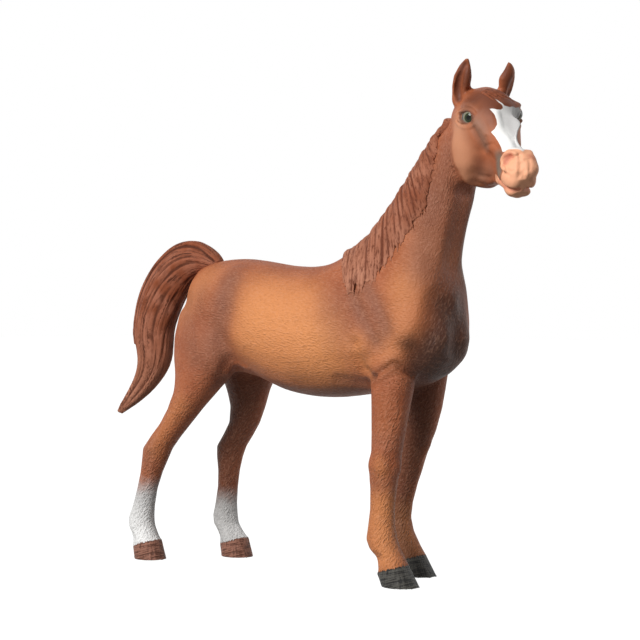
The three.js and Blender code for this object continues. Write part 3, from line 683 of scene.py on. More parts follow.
def leg_material(name, hoof_colour, hoof_line_colour, sock_top):
    """The coat's paint, a white sock with grey hairs where there is one, and the hoof under its fringe."""
    material, tree, shader = satin(name)
    place = place_mm(tree)
    colour, relief = coat_colour(tree, place)
    hoof = add(tree, "ShaderNodeAttribute", out="Fac", attribute_name="hoof")
    if sock_top:
        height = add(tree, "ShaderNodeSeparateXYZ", {0: place}, 2)
        frayed = add(tree, "ShaderNodeTexNoise", {"Vector": place, "Scale": 0.9, "Detail": 3.0}, "Fac")
        frayed_height = add(tree, "ShaderNodeMath", {0: frayed, 1: 3.0, 2: height}, operation="MULTIPLY_ADD")
        hairs = hair_strokes(tree, place, (0, 0.1, 0), (0.28, 0.28, 1.25))
        white = coated(tree, "#F8F7F5", "#C6C4C2", height, 6.0, sock_top)
        white = coated(tree, white, "#A19D9A", hairs, 0.5, 0.66, 0.3)
        # The dark part greys the white sock as painted shade, most inside the leg.
        white = coated(tree, white, "#77736F", parts_of(tree, "paint_and_light")[2], strength=0.7)
        colour = coated(tree, white, colour, frayed_height, sock_top - 2.0, sock_top + 4.5)
    around = add(tree, "ShaderNodeAttribute", out="Fac", attribute_name="around")
    on_horn = add(tree, "ShaderNodeCombineXYZ", {0: around, 2: hoof})
    level_lines = hair_strokes(tree, on_horn, (0, 0, 0), (4.0, 1, 0.36))
    upright_lines = hair_strokes(tree, on_horn, (0, 0, 0), (0.4, 1, 3.0))
    sockets = {0: upright_lines, 1: 0.6, 2: level_lines}
    grooves = add(tree, "ShaderNodeMath", sockets, operation="MULTIPLY_ADD")
    horn = coated(tree, hoof_line_colour, hoof_colour, grooves, 0.7, 0.86)
    fringe = hair_strokes(tree, place, (0, 0, 0), (0.33, 0.33, 1.6))
    below = add(tree, "ShaderNodeMath", {0: fringe, 1: -1.2, 2: hoof}, operation="MULTIPLY_ADD")
    edge = add(tree, "ShaderNodeMapRange", {0: below, 1: -0.68, 2: -0.52}, interpolation_type="SMOOTHSTEP")
    colour = coated(tree, colour, horn, edge)
    whole_relief = add(tree, "ShaderNodeMix", {0: edge, 2: relief, 3: grooves})
    dressed(tree, shader, colour, whole_relief, hoof_relief, hoof_relief_strength)
    return material


for name, centre in hoof_centres.items():
    own = squares[square_owner == mouldings.index(name)]
    rise = (coronet_front - coronet_back) / (2 * coronet_half)
    coronet = coronet_back + (form[:, 0] - centre + coronet_half) * rise
    side = (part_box(name)[0].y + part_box(name)[1].y) / 2 / MM
    around = np.arctan2(form[:, 1] - side, form[:, 0] - centre) * coronet_half
    fields = {"paint_and_light": paint_and_light, "lie": lie, "hoof": coronet - form[:, 2], "around": around}
    fore = name.startswith("fore")
    material = leg_material(
        "satin painted pvc " + name.replace("_", " "),
        "#52504B" if fore else "#9C6C5A",
        "#1E1D1C" if fore else "#5E3A2C",
        sock_tops.get(name),
    )
    piece = parted(name + "_coat", form, own, facing, fields)
    piece.data.materials.append(material)
    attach(piece, "root")
    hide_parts(name)

# Head
# One moulding with the ears, finer than the body: eyelids, cheek, nostrils and lips are carved, the blaze and
# the pink muzzle are painted on. It is glued to the neck behind the jaw.


def finer(points, squares, fields):
    """Each square becomes four, and each new point takes the mean of its corners' fields."""
    unique, inverse = np.unique(np.sort(sides_of(squares), axis=1), axis=0, return_inverse=True)
    inverse = inverse.reshape(4, -1).T + len(points)
    centres = np.arange(len(squares)) + len(points) + len(unique)
    quarters = []
    for i in range(4):
        quarters.append(np.stack([squares[:, i], inverse[:, i], centres, inverse[:, (i + 3) % 4]], 1))

    def spread(values):
        """The values at the old points, then at the middles of edges and of squares."""
        return np.concatenate([values, values[unique].mean(1), values[squares].mean(1)])

    new_fields = {name: spread(values) for name, values in fields.items()}
    return spread(points), np.concatenate(quarters), new_fields


def rim_of(squares):
    """The sides on the open edge of a cut skin."""
    sides = sides_of(squares)
    _, first, counts = np.unique(np.sort(sides, axis=1), axis=0, return_index=True, return_counts=True)
    return sides[first[counts == 1]]


def tree_of(points):
    """The points, set out for finding the nearest of them."""
    tree = KDTree(len(points))
    for index, point in enumerate(points):
        tree.insert(point, index)
    tree.balance()
    return tree


used, head_squares = renumbered(squares[square_owner == HEAD])
head_fields = {"paint_and_light": paint_and_light[used], "lie": lie[used], "facing": facing[used]}
head, head_squares, head_fields = finer(form[used], head_squares, head_fields)
head_edges = edges_of(head_squares)
rim_points = np.unique(rim_of(head_squares))
rim_tree = tree_of(head[rim_points])
from_rim = np.array([rim_tree.find(p)[2] for p in head])
inner = stand(0, 1.5, from_rim)
head = drawn_in(head, head_edges, (inner * 0.5)[:, None], 3)


def head_mirrored(path):
    """The same path on the other side of the head."""
    return (in_head(path) * (1, -1, 1)) @ head_turn.T + poll


def ringed(centre, across, up, lean, angles):
    """Points of the picture on an oval between two angles in degrees, from the right over the top."""
    turns = np.radians(np.linspace(angles[0], angles[1], 16))
    u, v = across * np.cos(turns), -up * np.sin(turns)
    c, s = math.cos(math.radians(lean)), math.sin(math.radians(lean))
    return [(centre[0] + c * a - s * b, centre[1] + s * a + c * b) for a, b in zip(u, v)]


eye_middle = (466.3, 116.8)
nostril_middle = (510.7, 162.3)

# Columns: points of the picture, radius and height in mm. The strokes of the last list are on the right side
# alone, because the left side doesn't show there.
cheek_strokes = [
    ([(490, 160), (487, 170), (482, 178)], 5, -0.7),
    ([(479, 154), (478, 168), (473, 181)], 2.6, -0.35),
    ([(464, 140), (467, 160)], 7, 0.4),
    ([(480, 182), (490, 183.5), (500, 186)], 1.4, 0.3),
    ([(478, 177), (488, 179), (497, 180.5)], 1.1, -0.3),
    ([(465, 104), (470, 106.5), (474, 110)], 2.2, 0.5),
    ([(481, 100), (484, 118), (488, 132)], 5, -0.3),
    ([(475, 121), (480, 128), (485, 138), (490, 148)], 1.6, 0.35),
    ([(473, 128), (478, 138), (482, 150)], 1.3, -0.3),
    ([(486, 137), (487, 145), (482, 152)], 0.6, -0.22),
    ([(482, 154), (486, 146), (493, 144), (498, 149)], 0.7, -0.22),
    ([(480, 131), (484, 140)], 0.5, -0.15),
    ([(488, 148), (493, 152)], 2.2, 0.3),
    ([(499, 157), (500, 170)], 1.6, -0.4),
]
eye_strokes = [
    ([eye_middle], 2.8, -0.95),
    (ringed(eye_middle, 7.2, 6.2, 4, (15, 185)), 0.75, 0.65),
    (ringed(eye_middle, 7.0, 6.2, 4, (185, 350)), 0.7, 0.45),
    (ringed(eye_middle, 9.2, 8.4, 4, (30, 150)), 0.7, -0.25),
    (ringed(eye_middle, 9.0, 8.2, 4, (200, 325)), 0.5, -0.22),
    (ringed(eye_middle, 11.4, 10.8, 4, (210, 320)), 0.6, 0.22),
]
nostril_strokes = [
    ([nostril_middle], 2.6, -0.8),
    ([(506, 160), (508.5, 157)], 1.8, -0.85),
]
mouth_strokes = [
    ([(496.5, 178), (500, 182), (505, 186.5), (511, 189.6), (518, 189.5)], 0.85, -0.6),
    ([(499, 182.5), (504, 189), (511, 193.5)], 1.5, 0.35),
    ([(500, 176), (505, 181), (512, 184.5)], 1.8, 0.3),
]
right_strokes = [
    ([(459, 99), (458, 88), (460, 76), (465, 65)], 1.3, -0.55),
    ([(466, 97), (466.5, 84), (468.5, 72)], 1.2, 0.3),
    ([(459.5, 113), (459.5, 120)], 0.9, 0.35),
    ([(518.5, 154), (520, 161), (518.5, 168)], 0.9, -0.45),
    (ringed(nostril_middle, 6.8, 8.6, 8, (205, 330)), 0.6, -0.25),
    ([(508, 114), (510, 124), (515, 134), (520, 143)], 3.4, -1.2),
    ([(499, 112), (501, 124), (507.5, 135), (514, 143), (520, 151)], 1.3, 0.4),
    ([(512, 141), (519, 149)], 0.7, -0.2),
    (ringed(nostril_middle, 8.3, 10.0, 8, (70, 235)), 0.7, 0.55),
    (ringed(nostril_middle, 8.6, 10.2, 8, (-40, 60)), 0.8, 0.3),
    ([(503, 171.5), (508, 174.5)], 0.7, -0.25),
    ([(520.5, 163), (521.5, 170), (519.5, 176)], 0.9, -0.4),
    ([(525, 160), (525, 168), (523.5, 177)], 0.7, -0.3),
    ([(529, 160), (529, 170)], 0.7, -0.25),
    ([(527, 162), (527, 174)], 0.7, 0.15),
]
head_strokes = cheek_strokes + eye_strokes + nostril_strokes + mouth_strokes


# The solid's plain nostrils are rubbed away first, because finer ones are carved here.
nostril_rub, rub_rounds = 3.8, 60
head_skin = skin_of(head, head_squares)
nostril = seen(head_skin, [nostril_middle])
for side in (nostril, head_mirrored(nostril)):
    rub = nearness(head, side, nostril_rub)[:, None] ** 0.5 * 0.9
    head = drawn_in(head, head_edges, rub, rub_rounds)
head_skin = skin_of(head, head_squares)
traced = []
for pixels, radius, height in head_strokes + right_strokes:
    traced.append((seen(head_skin, pixels), radius, height))
eye_spot = seen(head_skin, [eye_middle])
seats = [head_skin.find_nearest(Vector(spot[0]))[:2] for spot in (eye_spot, head_mirrored(eye_spot))]
for index, (path, radius, height) in enumerate(traced):
    sides = [path]
    if index < len(head_strokes):
        sides.append(np.array([head_skin.find_nearest(Vector(p))[0] for p in head_mirrored(path)]))
    for side in sides:
        amount = nearness(head, side, radius) * height * inner
        head = head + normals_of(head, head_squares) * amount[:, None]
head = drawn_in(head, head_edges, (inner * 0.4)[:, None], 2)

# The blaze and the muzzle's pink are drawn on the unrolled face. Its axis drops towards the lips, and a
# degree round it is counted as a fixed length.
face_axis, face_axis_drop, degree_length = -4.2, 0.13, 0.09


def unrolled(points):
    """Places on the face laid flat: along it and round it, in mm."""
    along, across, above = in_head(points).T
    axis = face_axis - face_axis_drop * along
    return np.stack([along, np.degrees(np.arctan2(across, above - axis)) * degree_length], 1)


def inside_by(spots, outline):
    """How far inside an outline each spot is, in mm; less than 0 outside."""
    best = np.full(len(spots), np.inf)
    crossings = np.zeros(len(spots), int)
    for start, end in zip(outline, np.roll(outline, -1, 0)):
        along = end - start
        where = np.clip((spots - start) @ along / max(along @ along, 1e-9), 0, 1)
        best = np.minimum(best, np.linalg.norm(spots - start - where[:, None] * along, axis=1))
        straddles = (start[1] > spots[:, 1]) != (end[1] > spots[:, 1])
        reach = start[0] + (spots[:, 1] - start[1]) * along[0] / (along[1] if along[1] else 1e-9)
        crossings += straddles & (spots[:, 0] < reach)
    return np.where(crossings % 2 == 1, best, -best)


head_skin = skin_of(head, head_squares)
# The blaze's near edge as points of the picture, and its far edge as places on the unrolled face in mm.
blaze_near = [
    (515.7, 107.9), (510, 107.2), (504.3, 105.6), (500, 102), (495, 98.8), (499, 102.6), (502.3, 105.5),
    (503, 108), (501, 109.6), (497, 109.6), (489.5, 108.8), (492.5, 112), (494.8, 115), (496.6, 120),
    (497.2, 124.5), (494.5, 129.3), (491, 132.3), (495, 136.5), (498.5, 142), (501, 147), (502.5, 152),
    (507, 150.7), (514, 150.3), (519, 153.2),
]
blaze_far = [
    (26.8, 0.6), (25.6, 2.6), (24.0, 4.4), (21.5, 6.0), (18.5, 7.0), (15.5, 7.4), (13.0, 7.2), (11.6, 6.4),
    (10.7, 5.3), (9.9, 5.0), (9.2, 5.4), (8.7, 5.3), (9.3, 4.5), (10.1, 3.6),
]
near_outline = unrolled(seen(head_skin, blaze_near))
outline = np.concatenate([near_outline, np.array(blaze_far)])
spots = unrolled(head)
blaze = inside_by(spots, outline)

# The pink starts further back beside the nose than on it, and takes in the nostrils and the lips.
pink_on_nose, pink_beside, pink_low, nostril_pink = 26.8, 23.3, 2.0, 2.5
round_face = np.abs(spots[:, 1])
pink_from = np.maximum(pink_on_nose - 1.3 * round_face, pink_beside) + pink_low * stand(4, 7, round_face)
muzzle = spots[:, 0] - pink_from
nostril = seen(head_skin, [nostril_middle])
for side in (nostril, head_mirrored(nostril)):
    muzzle = np.maximum(muzzle, nostril_pink - np.linalg.norm(head - side, axis=1))
lip_line = [(497.5, 179.5), (502, 185), (508, 190), (514, 192)]
lips = seen(head_skin, lip_line)
for side in (lips, head_mirrored(lips)):
    muzzle = np.maximum(muzzle, 3 * nearness(head, side, 2.2) - 1.5)


def painted(strokes):
    """The strongest of some soft strokes on both sides of the head."""
    amount = np.zeros(len(head))
    for pixels, radius, strength in strokes:
        path = seen(head_skin, pixels)
        for side in (path, head_mirrored(path)):
            amount = np.maximum(amount, nearness(head, side, radius) * strength)
    return amount


# Columns: points of the picture, radius in mm and strength.
grey_paint = [
    ([(499.5, 159), (498, 167), (498.5, 173)], 2.9, 1.0),
    ([(475, 124), (480, 133), (485, 145)], 2.4, 0.55),
    ([eye_middle], 3.2, 0.35),
    ([(490, 170), (484, 178)], 3, 0.3),
]
# Rose: painted shade in the nostrils under their rims, and the reddish line of the lips.
rose_and_shade_paint = [
    ([(505, 162), (507, 157.5), (511, 155.5)], 1.3, 0.9),
    ([(499, 181), (505, 187), (512, 190), (520, 189)], 0.8, 0.7),
    ([(530, 156), (534, 158)], 1.0, 0.6),
]
# Tan as painted light on the cheek and the brow.
tan_and_highlight_paint = [
    ([(458, 130), (460, 150), (463, 175)], 7, 1.0),
    ([(468, 104), (474, 108)], 2.4, 0.25),
    ([(482, 118), (486, 128)], 3, 0.35),
]
# Umber paint round the eye, in the ears and on the forehead; painted shade under the jaw, by the cheek and in
# the nostril.
umber_and_shade_paint = [
    ([(476, 98), (486, 95), (493, 104)], 6, 0.95),
    ([(466, 104), (472, 106)], 2.5, 0.5),
    ([(480, 162), (479, 172), (474, 182)], 2.4, 0.6),
    ([(486, 104), (490, 120)], 3, 0.5),
    ([(459, 99), (457.5, 88), (459, 75), (464, 64)], 1.4, 1.0),
    ([(506, 70), (509, 84), (507, 96)], 2.3, 0.9),
    ([(464, 92), (465, 80)], 1.2, 0.5),
    ([(505.5, 158.5), (508, 156)], 0.6, 0.8),
    (ringed(eye_middle, 6.2, 5.6, 4, (0, 360)), 0.6, 1.0),
    ([(470, 186), (480, 188)], 3, 0.6),
]

# The far side of the blaze has a grey painted shade from the nose's ridge on.
ridge = seen(head_skin, [(499, 111), (501, 124), (507.5, 135), (515, 144), (520, 151)])
ridge_line = unrolled(ridge)
ridge_line = ridge_line[ridge_line[:, 0].argsort()]
past_ridge = spots[:, 1] - np.interp(spots[:, 0], ridge_line[:, 0], ridge_line[:, 1])
blaze_painted_shade = stand(0, 2.2, past_ridge) * (1 - stand(26, 27.5, spots[:, 0]))
nothing = np.zeros(len(head))
own_paint_and_light = np.stack([painted(tan_and_highlight_paint), nothing, nothing], 1)
head_fields["paint_and_light"] += (own_paint_and_light - head_fields["paint_and_light"]) * stand(0.2, 2.2, from_rim)[:, None]
head_fields["face"] = np.stack([painted(grey_paint), painted(rose_and_shade_paint), painted(umber_and_shade_paint)], 1)
head_fields["blaze"] = blaze
head_fields["blaze_painted_shade"] = blaze_painted_shade
head_fields["muzzle"] = muzzle
head_facing = normals_of(head, head_squares)
head_facing[rim_points] = head_fields.pop("facing")[rim_points]

# The same satin paint with a rosier tan. The white is opaque and sharp-edged, and the pink fades in softly.
head_material, tree, shader = satin("satin painted pvc head")
colour, relief = coat_colour(tree, place_mm(tree), "#C98A68")
grey, rose_and_shade, umber_and_shade = parts_of(tree, "face")
in_blaze = add(tree, "ShaderNodeAttribute", out="Fac", attribute_name="blaze")
on_blaze_shade = add(tree, "ShaderNodeAttribute", out="Fac", attribute_name="blaze_painted_shade")
on_muzzle = add(tree, "ShaderNodeAttribute", out="Fac", attribute_name="muzzle")
# Umber paint, with painted shade under the jaw, by the cheek and in the nostril.
colour = coated(tree, colour, "#5C3020", umber_and_shade, strength=0.9)
colour = coated(tree, colour, "#6E675C", grey, strength=0.85)
# The blaze is white, with a grey painted shade on its far side.
white = coated(tree, "#FAF9F6", "#C2C0BE", on_blaze_shade)
colour = coated(tree, colour, white, in_blaze, -0.06, 0.06)
colour = coated(tree, colour, "#F3B08A", on_muzzle, -0.25, 0.35)
# Rose, which in the nostrils is a painted shade.
colour = coated(tree, colour, "#CC7A62", rose_and_shade)
dressed(tree, shader, colour, relief, coat_relief, coat_relief_strength)
piece = parted("head_coat", head, head_squares, head_facing, head_fields)
piece.data.materials.append(head_material)
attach(piece, "root")
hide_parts("head")

# Eyes
# Painted on the real head: a dark rim, a brown-green iris, a black pupil and a gloss varnish that takes a
# small highlight. Each is a ball here, sunk in its socket so far that a shallow glossy lens shows.

# The picture shows the right eye, which looks a little further forward than its socket. The left one is its
# mirror image, but smaller and further back and out, to sit in its own socket.
eye_radii = {"eye_right": 2.6, "eye_left": 1.75}
forward_look = {"eye_right": (0.24, 0, 0.04), "eye_left": (0, 0, 0)}
eye_sunk = 0.06
outward_right = np.array(seats[0][1]) @ head_turn
left_back_up = Vector(head_turn @ (-0.7, 0.6, 0.2))
eye_roughness = 0.08
# Round the black pupil: an iris, a paler edge, a greyer one and the rim. Columns: colour, and where it starts
# and is full, in mm from the middle.
eye_rings = [
    ("#29331B", 0.4, 0.6),
    ("#7E7A64", 0.92, 1.05),
    ("#7C7668", 1.2, 1.35),
    ("#1C1410", 1.5, 1.62),
]
eye_places = (("eye_right", seats[0][0], 1), ("eye_left", seats[1][0] + left_back_up, -1))
for name, seat, flip in eye_places:
    eye_radius = eye_radii[name]
    outward_way = Vector(head_turn @ (outward_right * (1, flip, 1)))
    gaze = head_turn @ ((outward_right + forward_look[name]) * (1, flip, 1))
    ball = bmesh.new()
    bmesh.ops.create_uvsphere(ball, u_segments=48, v_segments=32, radius=eye_radius)
    turn = Vector((0, 0, 1)).rotation_difference(Vector(gaze)).to_matrix()
    centre = seat - outward_way * (eye_radius + eye_sunk)
    mesh = bpy.data.meshes.new(name)
    ring = []
    for v in ball.verts:
        ring.append(math.hypot(v.co.x, v.co.y) if v.co.z > 0 else eye_radius)
        v.co = (turn @ v.co + centre) * MM
    ball.to_mesh(mesh)
    ball.free()
    mesh.attributes.new("ring", "FLOAT", "POINT").data.foreach_set("value", ring)
    for polygon in mesh.polygons:
        polygon.use_smooth = True
    material, tree, shader = satin("gloss varnished " + name.replace("_", " "))
    from_middle = add(tree, "ShaderNodeAttribute", out="Fac", attribute_name="ring")
    colour = linear("#080A07")
    for ring_colour, start, end in eye_rings:
        colour = coated(tree, colour, ring_colour, from_middle, start, end)
    tree.links.new(colour, shader.inputs["Base Color"])
    shader.inputs["Roughness"].default_value = eye_roughness
    piece = placed(name, mesh)
    piece.data.materials.append(material)
    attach(piece, "root")

# Hair
# Mane, forelock and tail are moulded PVC with deep strands. A Geometry Nodes tree turns each drawn line into
# a tapering strand, and the strands are then run together into one moulding, as the steel mould does.

hair_roughness, hair_gloss = 0.62, 0.12
hair_relief_depth, hair_relief_strength = 0.28, 0.85


def hair_paint(name, dark, light, groove, pale_from, pale_to):
    """Satin reddish brown, duller than the coat, darker in the grooves and with pale tips."""
    material, tree, shader = satin(name)
    place = place_mm(tree)
    height = add(tree, "ShaderNodeSeparateXYZ", {0: place}, 2)
    tone = add(tree, "ShaderNodeAttribute", out="Fac", attribute_name="tone")
    lane = add(tree, "ShaderNodeAttribute", out="Vector", attribute_name="lane")
    sockets = {"Vector": lane, "Scale": 2.7, "Detail": 2.0, "Roughness": 0.6}
    fine_strands = add(tree, "ShaderNodeTexNoise", sockets, "Fac")
    patch = add(tree, "ShaderNodeTexNoise", {"Vector": place, "Scale": 0.25, "Detail": 3.0}, "Fac")
    colour = coated(tree, dark, light, patch, 0.3, 0.7)
    colour = coated(tree, colour, "#C98F74", height, pale_from, pale_to, 0.45)
    colour = coated(tree, groove, colour, fine_strands, 0.3, 0.52)
    colour = coated(tree, groove, colour, tone, 0.05, 0.7)
    dressed(tree, shader, colour, fine_strands, hair_relief_depth, hair_relief_strength)
    shader.inputs["Roughness"].default_value = hair_roughness
    shader.inputs["Specular IOR Level"].default_value = hair_gloss
    return material


mane_material = hair_paint("satin painted pvc mane", "#8F5239", "#A86D54", "#693826", 84, 66)
tail_material = hair_paint("satin painted pvc tail", "#87492F", "#A56850", "#542C1D", 62, 38)


def strand_tree(material):
    """The nodes that turn lines into round strands as thick as each point says."""
    tree = bpy.data.node_groups.new("strands", "GeometryNodeTree")
    tree.interface.new_socket("Geometry", in_out="INPUT", socket_type="NodeSocketGeometry")
    sides = tree.interface.new_socket("Sides", in_out="INPUT", socket_type="NodeSocketInt")
    sides.default_value = strand_sides
    tree.interface.new_socket("Geometry", in_out="OUTPUT", socket_type="NodeSocketGeometry")
    given = add(tree, "NodeGroupInput", out=None)
    sockets = {"Name": "thick"}
    thick = add(tree, "GeometryNodeInputNamedAttribute", sockets, "Attribute", data_type="FLOAT")
    curve = add(tree, "GeometryNodeMeshToCurve", {"Mesh": given["Geometry"]})
    curve = add(tree, "GeometryNodeSetCurveRadius", {"Curve": curve, "Radius": thick})
    sockets = {"Resolution": given["Sides"], "Radius": 1.0}
    circle = add(tree, "GeometryNodeCurvePrimitiveCircle", sockets)
    sockets = {"Curve": curve, "Profile Curve": circle, "Fill Caps": True, "Scale": thick}
    tube = add(tree, "GeometryNodeCurveToMesh", sockets)
    real = add(tree, "GeometryNodeRealizeInstances", {"Geometry": tube})
    coated_tube = add(tree, "GeometryNodeSetMaterial", {"Geometry": real, "Material": material})
    add(tree, "NodeGroupOutput", {"Geometry": coated_tube}, None)
    return tree


strand_sides = 8
strands_tree = strand_tree(mane_material)


def stranded(lines):
    """Tubes round drawn lines. A line is its points (mm) and the radius at each."""
    points = [tuple(p) for line, _ in lines for p in line]
    radii = [r for _, radius in lines for r in radius]
    links, start = [], 0
    for line, _ in lines:
        links += [(start + i, start + i + 1) for i in range(len(line) - 1)]
        start += len(line)
    mesh = bpy.data.meshes.new("lines")
    mesh.from_pydata(points, links, [])
    mesh.attributes.new("thick", "FLOAT", "POINT").data.foreach_set("value", radii)
    holder = placed("lines", mesh)
    modifier = holder.modifiers.new("strands", "NODES")
    modifier.node_group = strands_tree
    socket = [s.identifier for s in strands_tree.interface.items_tree if s.name == "Sides"][0]
    modifier[socket] = strand_sides
    made, corners = made_of(holder)
    faces = [list(p.vertices) for p in made.polygons]
    bpy.data.meshes.remove(made)
    return corners, faces


def hollowness(points, squares, rounds):
    """How deep a point lies between its neighbours, for a darker colour in the grooves."""
    mean = drawn_in(points, edges_of(squares), 0.8, rounds)
    return ((points - mean) * normals_of(points, squares)).sum(1)


def lanes_of(points, lines, lanes):
    """For each point the lane of the strands it lies on: across them in mm, and slowly along them."""
    tree = tree_of(np.concatenate([line for line, _ in lines]))
    kept = []
    for (line, _), lane in zip(lines, lanes):
        kept += [(*lane, 3 * step / len(line)) for step in range(len(line))]
    kept = np.array(kept)
    result = np.empty((len(points), 3))
    for i, point in enumerate(points):
        near = tree.find_n(point, 8)
        weight = np.array([1 / (distance + 0.15) ** 2 for _, _, distance in near])
        result[i] = weight @ kept[[index for _, index, _ in near]] / weight.sum()
    return result


def moulded_hair(name, lines, lanes, size, material, node, core=None):
    """One moulding of strands, on a core where it has one, made of squares of a size in mm."""
    corners, faces = stranded(lines)
    if core:
        core_corners, core_faces = core
        faces += [[i + len(corners) for i in face] for face in core_faces]
        corners = np.concatenate([corners, core_corners])
    points, squares = outer_skin(*evened(corners, faces, size))
    points = drawn_in(points, edges_of(squares), 0.5, 1)
    depth = hollowness(points, squares, 12)
    tone = stand(-0.12, 0.1, depth)
    fields = {"tone": tone, "lane": lanes_of(points, lines, lanes)}
    piece = parted(name, points, squares, normals_of(points, squares), fields)
    piece.data.materials.append(material)
    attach(piece, "root")
    if node:
        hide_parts(node)


root_inset = 0.05
root_rings = 2


def core_of(name, shrink):
    """The moulding's own part of the form, full at its root and then drawn in under its strands."""
    part = (moulding == mouldings.index(name)).astype(float)[:, None]
    for _ in range(root_rings):
        part = np.ceil(neighbour_mean(part, edges))
    used, own = renumbered(squares[(part[squares, 0] > 0).all(1)])
    rim = rim_of(own)
    root_points = form[used][rim[:, 0]]
    root = tree_of(root_points)
    from_root = np.array([root.find(point)[2] for point in form[used]])
    inset = root_inset + shrink * stand(2, 8, from_root)
    core = form[used] - facing[used] * inset[:, None]
    fan = [[b, a, len(used)] for a, b in rim]
    return np.concatenate([core, [root_points.mean(0)]]), own.tolist() + fan


def eased(line):
    """A drawn line without its small kinks."""
    for _ in range(3):
        line[1:-1] = (line[:-2] + 2 * line[1:-1] + line[2:]) / 4
    return line


# Mane
# A PVC moulding of its own, glued along the crest. Its locks hang down the right of the neck, in two layers:
# thick strands below and thin ones over them.

# Columns: points of the picture for a lock's root on the crest and for its tip.
mane_locks = [
    ((443, 116), (441, 124)),
    ((440, 120), (440, 133)),
    ((437, 125), (438, 144)),
    ((433, 130), (436, 155)),
    ((429, 136), (434, 167)),
    ((422, 148), (430, 188)),
    ((415, 159), (426, 211)),
    ((409, 169), (415, 227)),
    ((402, 180), (403, 243)),
    ((395, 190), (391, 261)),
    ((387, 202), (379, 277)),
    ((377, 215), (366, 289)),
    ((366, 230), (354, 296)),
    ((355, 243), (346, 294)),
    ((348, 252), (343, 276)),
]
mane_locks = np.array(mane_locks, float)


def crest_place(u, v):
    """Where a point of the picture lies on the horse's middle plane."""
    ray = sight(u, v)
    return camera_place + ray * ((middle - 0.6 - camera_place.y) / ray.y)


def mane_strands(count, thick, lift, seed):
    """Strands hanging between the drawn locks, of a thickness and lifted off the neck, both in mm."""
    chance = np.random.default_rng(seed)
    lines, lanes = [], []
    for i in range(count):
        place_along = (i + chance.uniform(0.1, 0.9)) / count * (len(mane_locks) - 1)
        lock = min(int(place_along), len(mane_locks) - 2)
        (root, tip) = mane_locks[lock] + (mane_locks[lock + 1] - mane_locks[lock]) * (place_along - lock)
        tip = root + (tip - root) * chance.uniform(0.86, 1.02)
        sway, phase = chance.normal(0, 1.1), chance.uniform(0, 6.3)
        height = lift + chance.uniform(-0.25, 0.25)
        steps = np.linspace(0, 1, 18)
        line = []
        for t in steps:
            u, v = root + (tip - root) * t + (sway * math.sin(5 * t + phase) * t, 0)
            hit, normal, _, _ = skin.ray_cast(camera_place, sight(u, v))
            if hit is None or t < 0.02:
                hit = crest_place(u, v)
                hit, normal, _, _ = skin.find_nearest(hit)
            line.append(hit + normal * height * min(1, 0.35 + 3 * t) * (1 - t**5))
        line = eased(np.array(line))
        fading = np.clip((1 - steps) / 0.35, 0.15, 1) ** 0.6
        lines.append((line, thick * np.minimum(0.55 + 2 * steps, 1) * fading))
        lanes.append((place_along * 2.6, 0))
    return lines, lanes


thick_lines, thick_lanes = mane_strands(count=74, thick=0.7, lift=0.3, seed=3)
thin_lines, thin_lanes = mane_strands(count=88, thick=0.42, lift=0.95, seed=5)
mane_lines, mane_lanes = thick_lines + thin_lines, thick_lanes + thin_lanes
moulded_hair("mane_hair", mane_lines, mane_lanes, 0.22, mane_material, "mane")

# Tail
# A PVC moulding with a peg in the rump. Its strands run from the dock over the arch and down to the tip, on
# a core of the solid tail's own form.

# Columns: points of the picture on its outer and its inner edge, both in the horse's middle plane, and the
# tail's half width there in mm.
tail_rows = [
    ((221, 262), (217, 270), 1.6),
    ((217, 256), (209, 270), 2.4),
    ((209, 249), (202, 273), 3.0),
    ((199, 243), (196, 277), 3.5),
    ((188, 243), (191, 284), 3.9),
    ((178, 246), (186, 291), 4.1),
    ((168, 255), (182, 299), 4.3),
    ((159, 265), (178, 307), 4.3),
    ((150, 280), (175, 316), 4.3),
    ((144, 295), (172, 324), 4.2),
    ((140, 310), (170, 333), 4.1),
    ((137, 326), (170, 343), 3.9),
    ((137, 340), (170, 354), 3.6),
    ((140, 352), (168, 367), 3.2),
    ((139, 366), (161, 379), 2.7),
    ((133, 380), (152, 391), 2.2),
    ((126, 393), (140, 402), 1.7),
    ((119, 404), (129, 409), 1.2),
    ((117, 411), (122, 414), 0.7),
]


def tail_place(point):
    """Where a point of the picture lies on the tail's middle plane."""
    ray = sight(*point)
    return camera_place + ray * ((middle - camera_place.y) / ray.y)


tail_outer = np.array([tail_place(outer) for outer, _, _ in tail_rows])
tail_inner = np.array([tail_place(inner) for _, inner, _ in tail_rows])
tail_half = np.array([half for _, _, half in tail_rows])
# Some thin strands on the tail's back end early, at this row, in a lock that stands out.
lock_end = 12.3


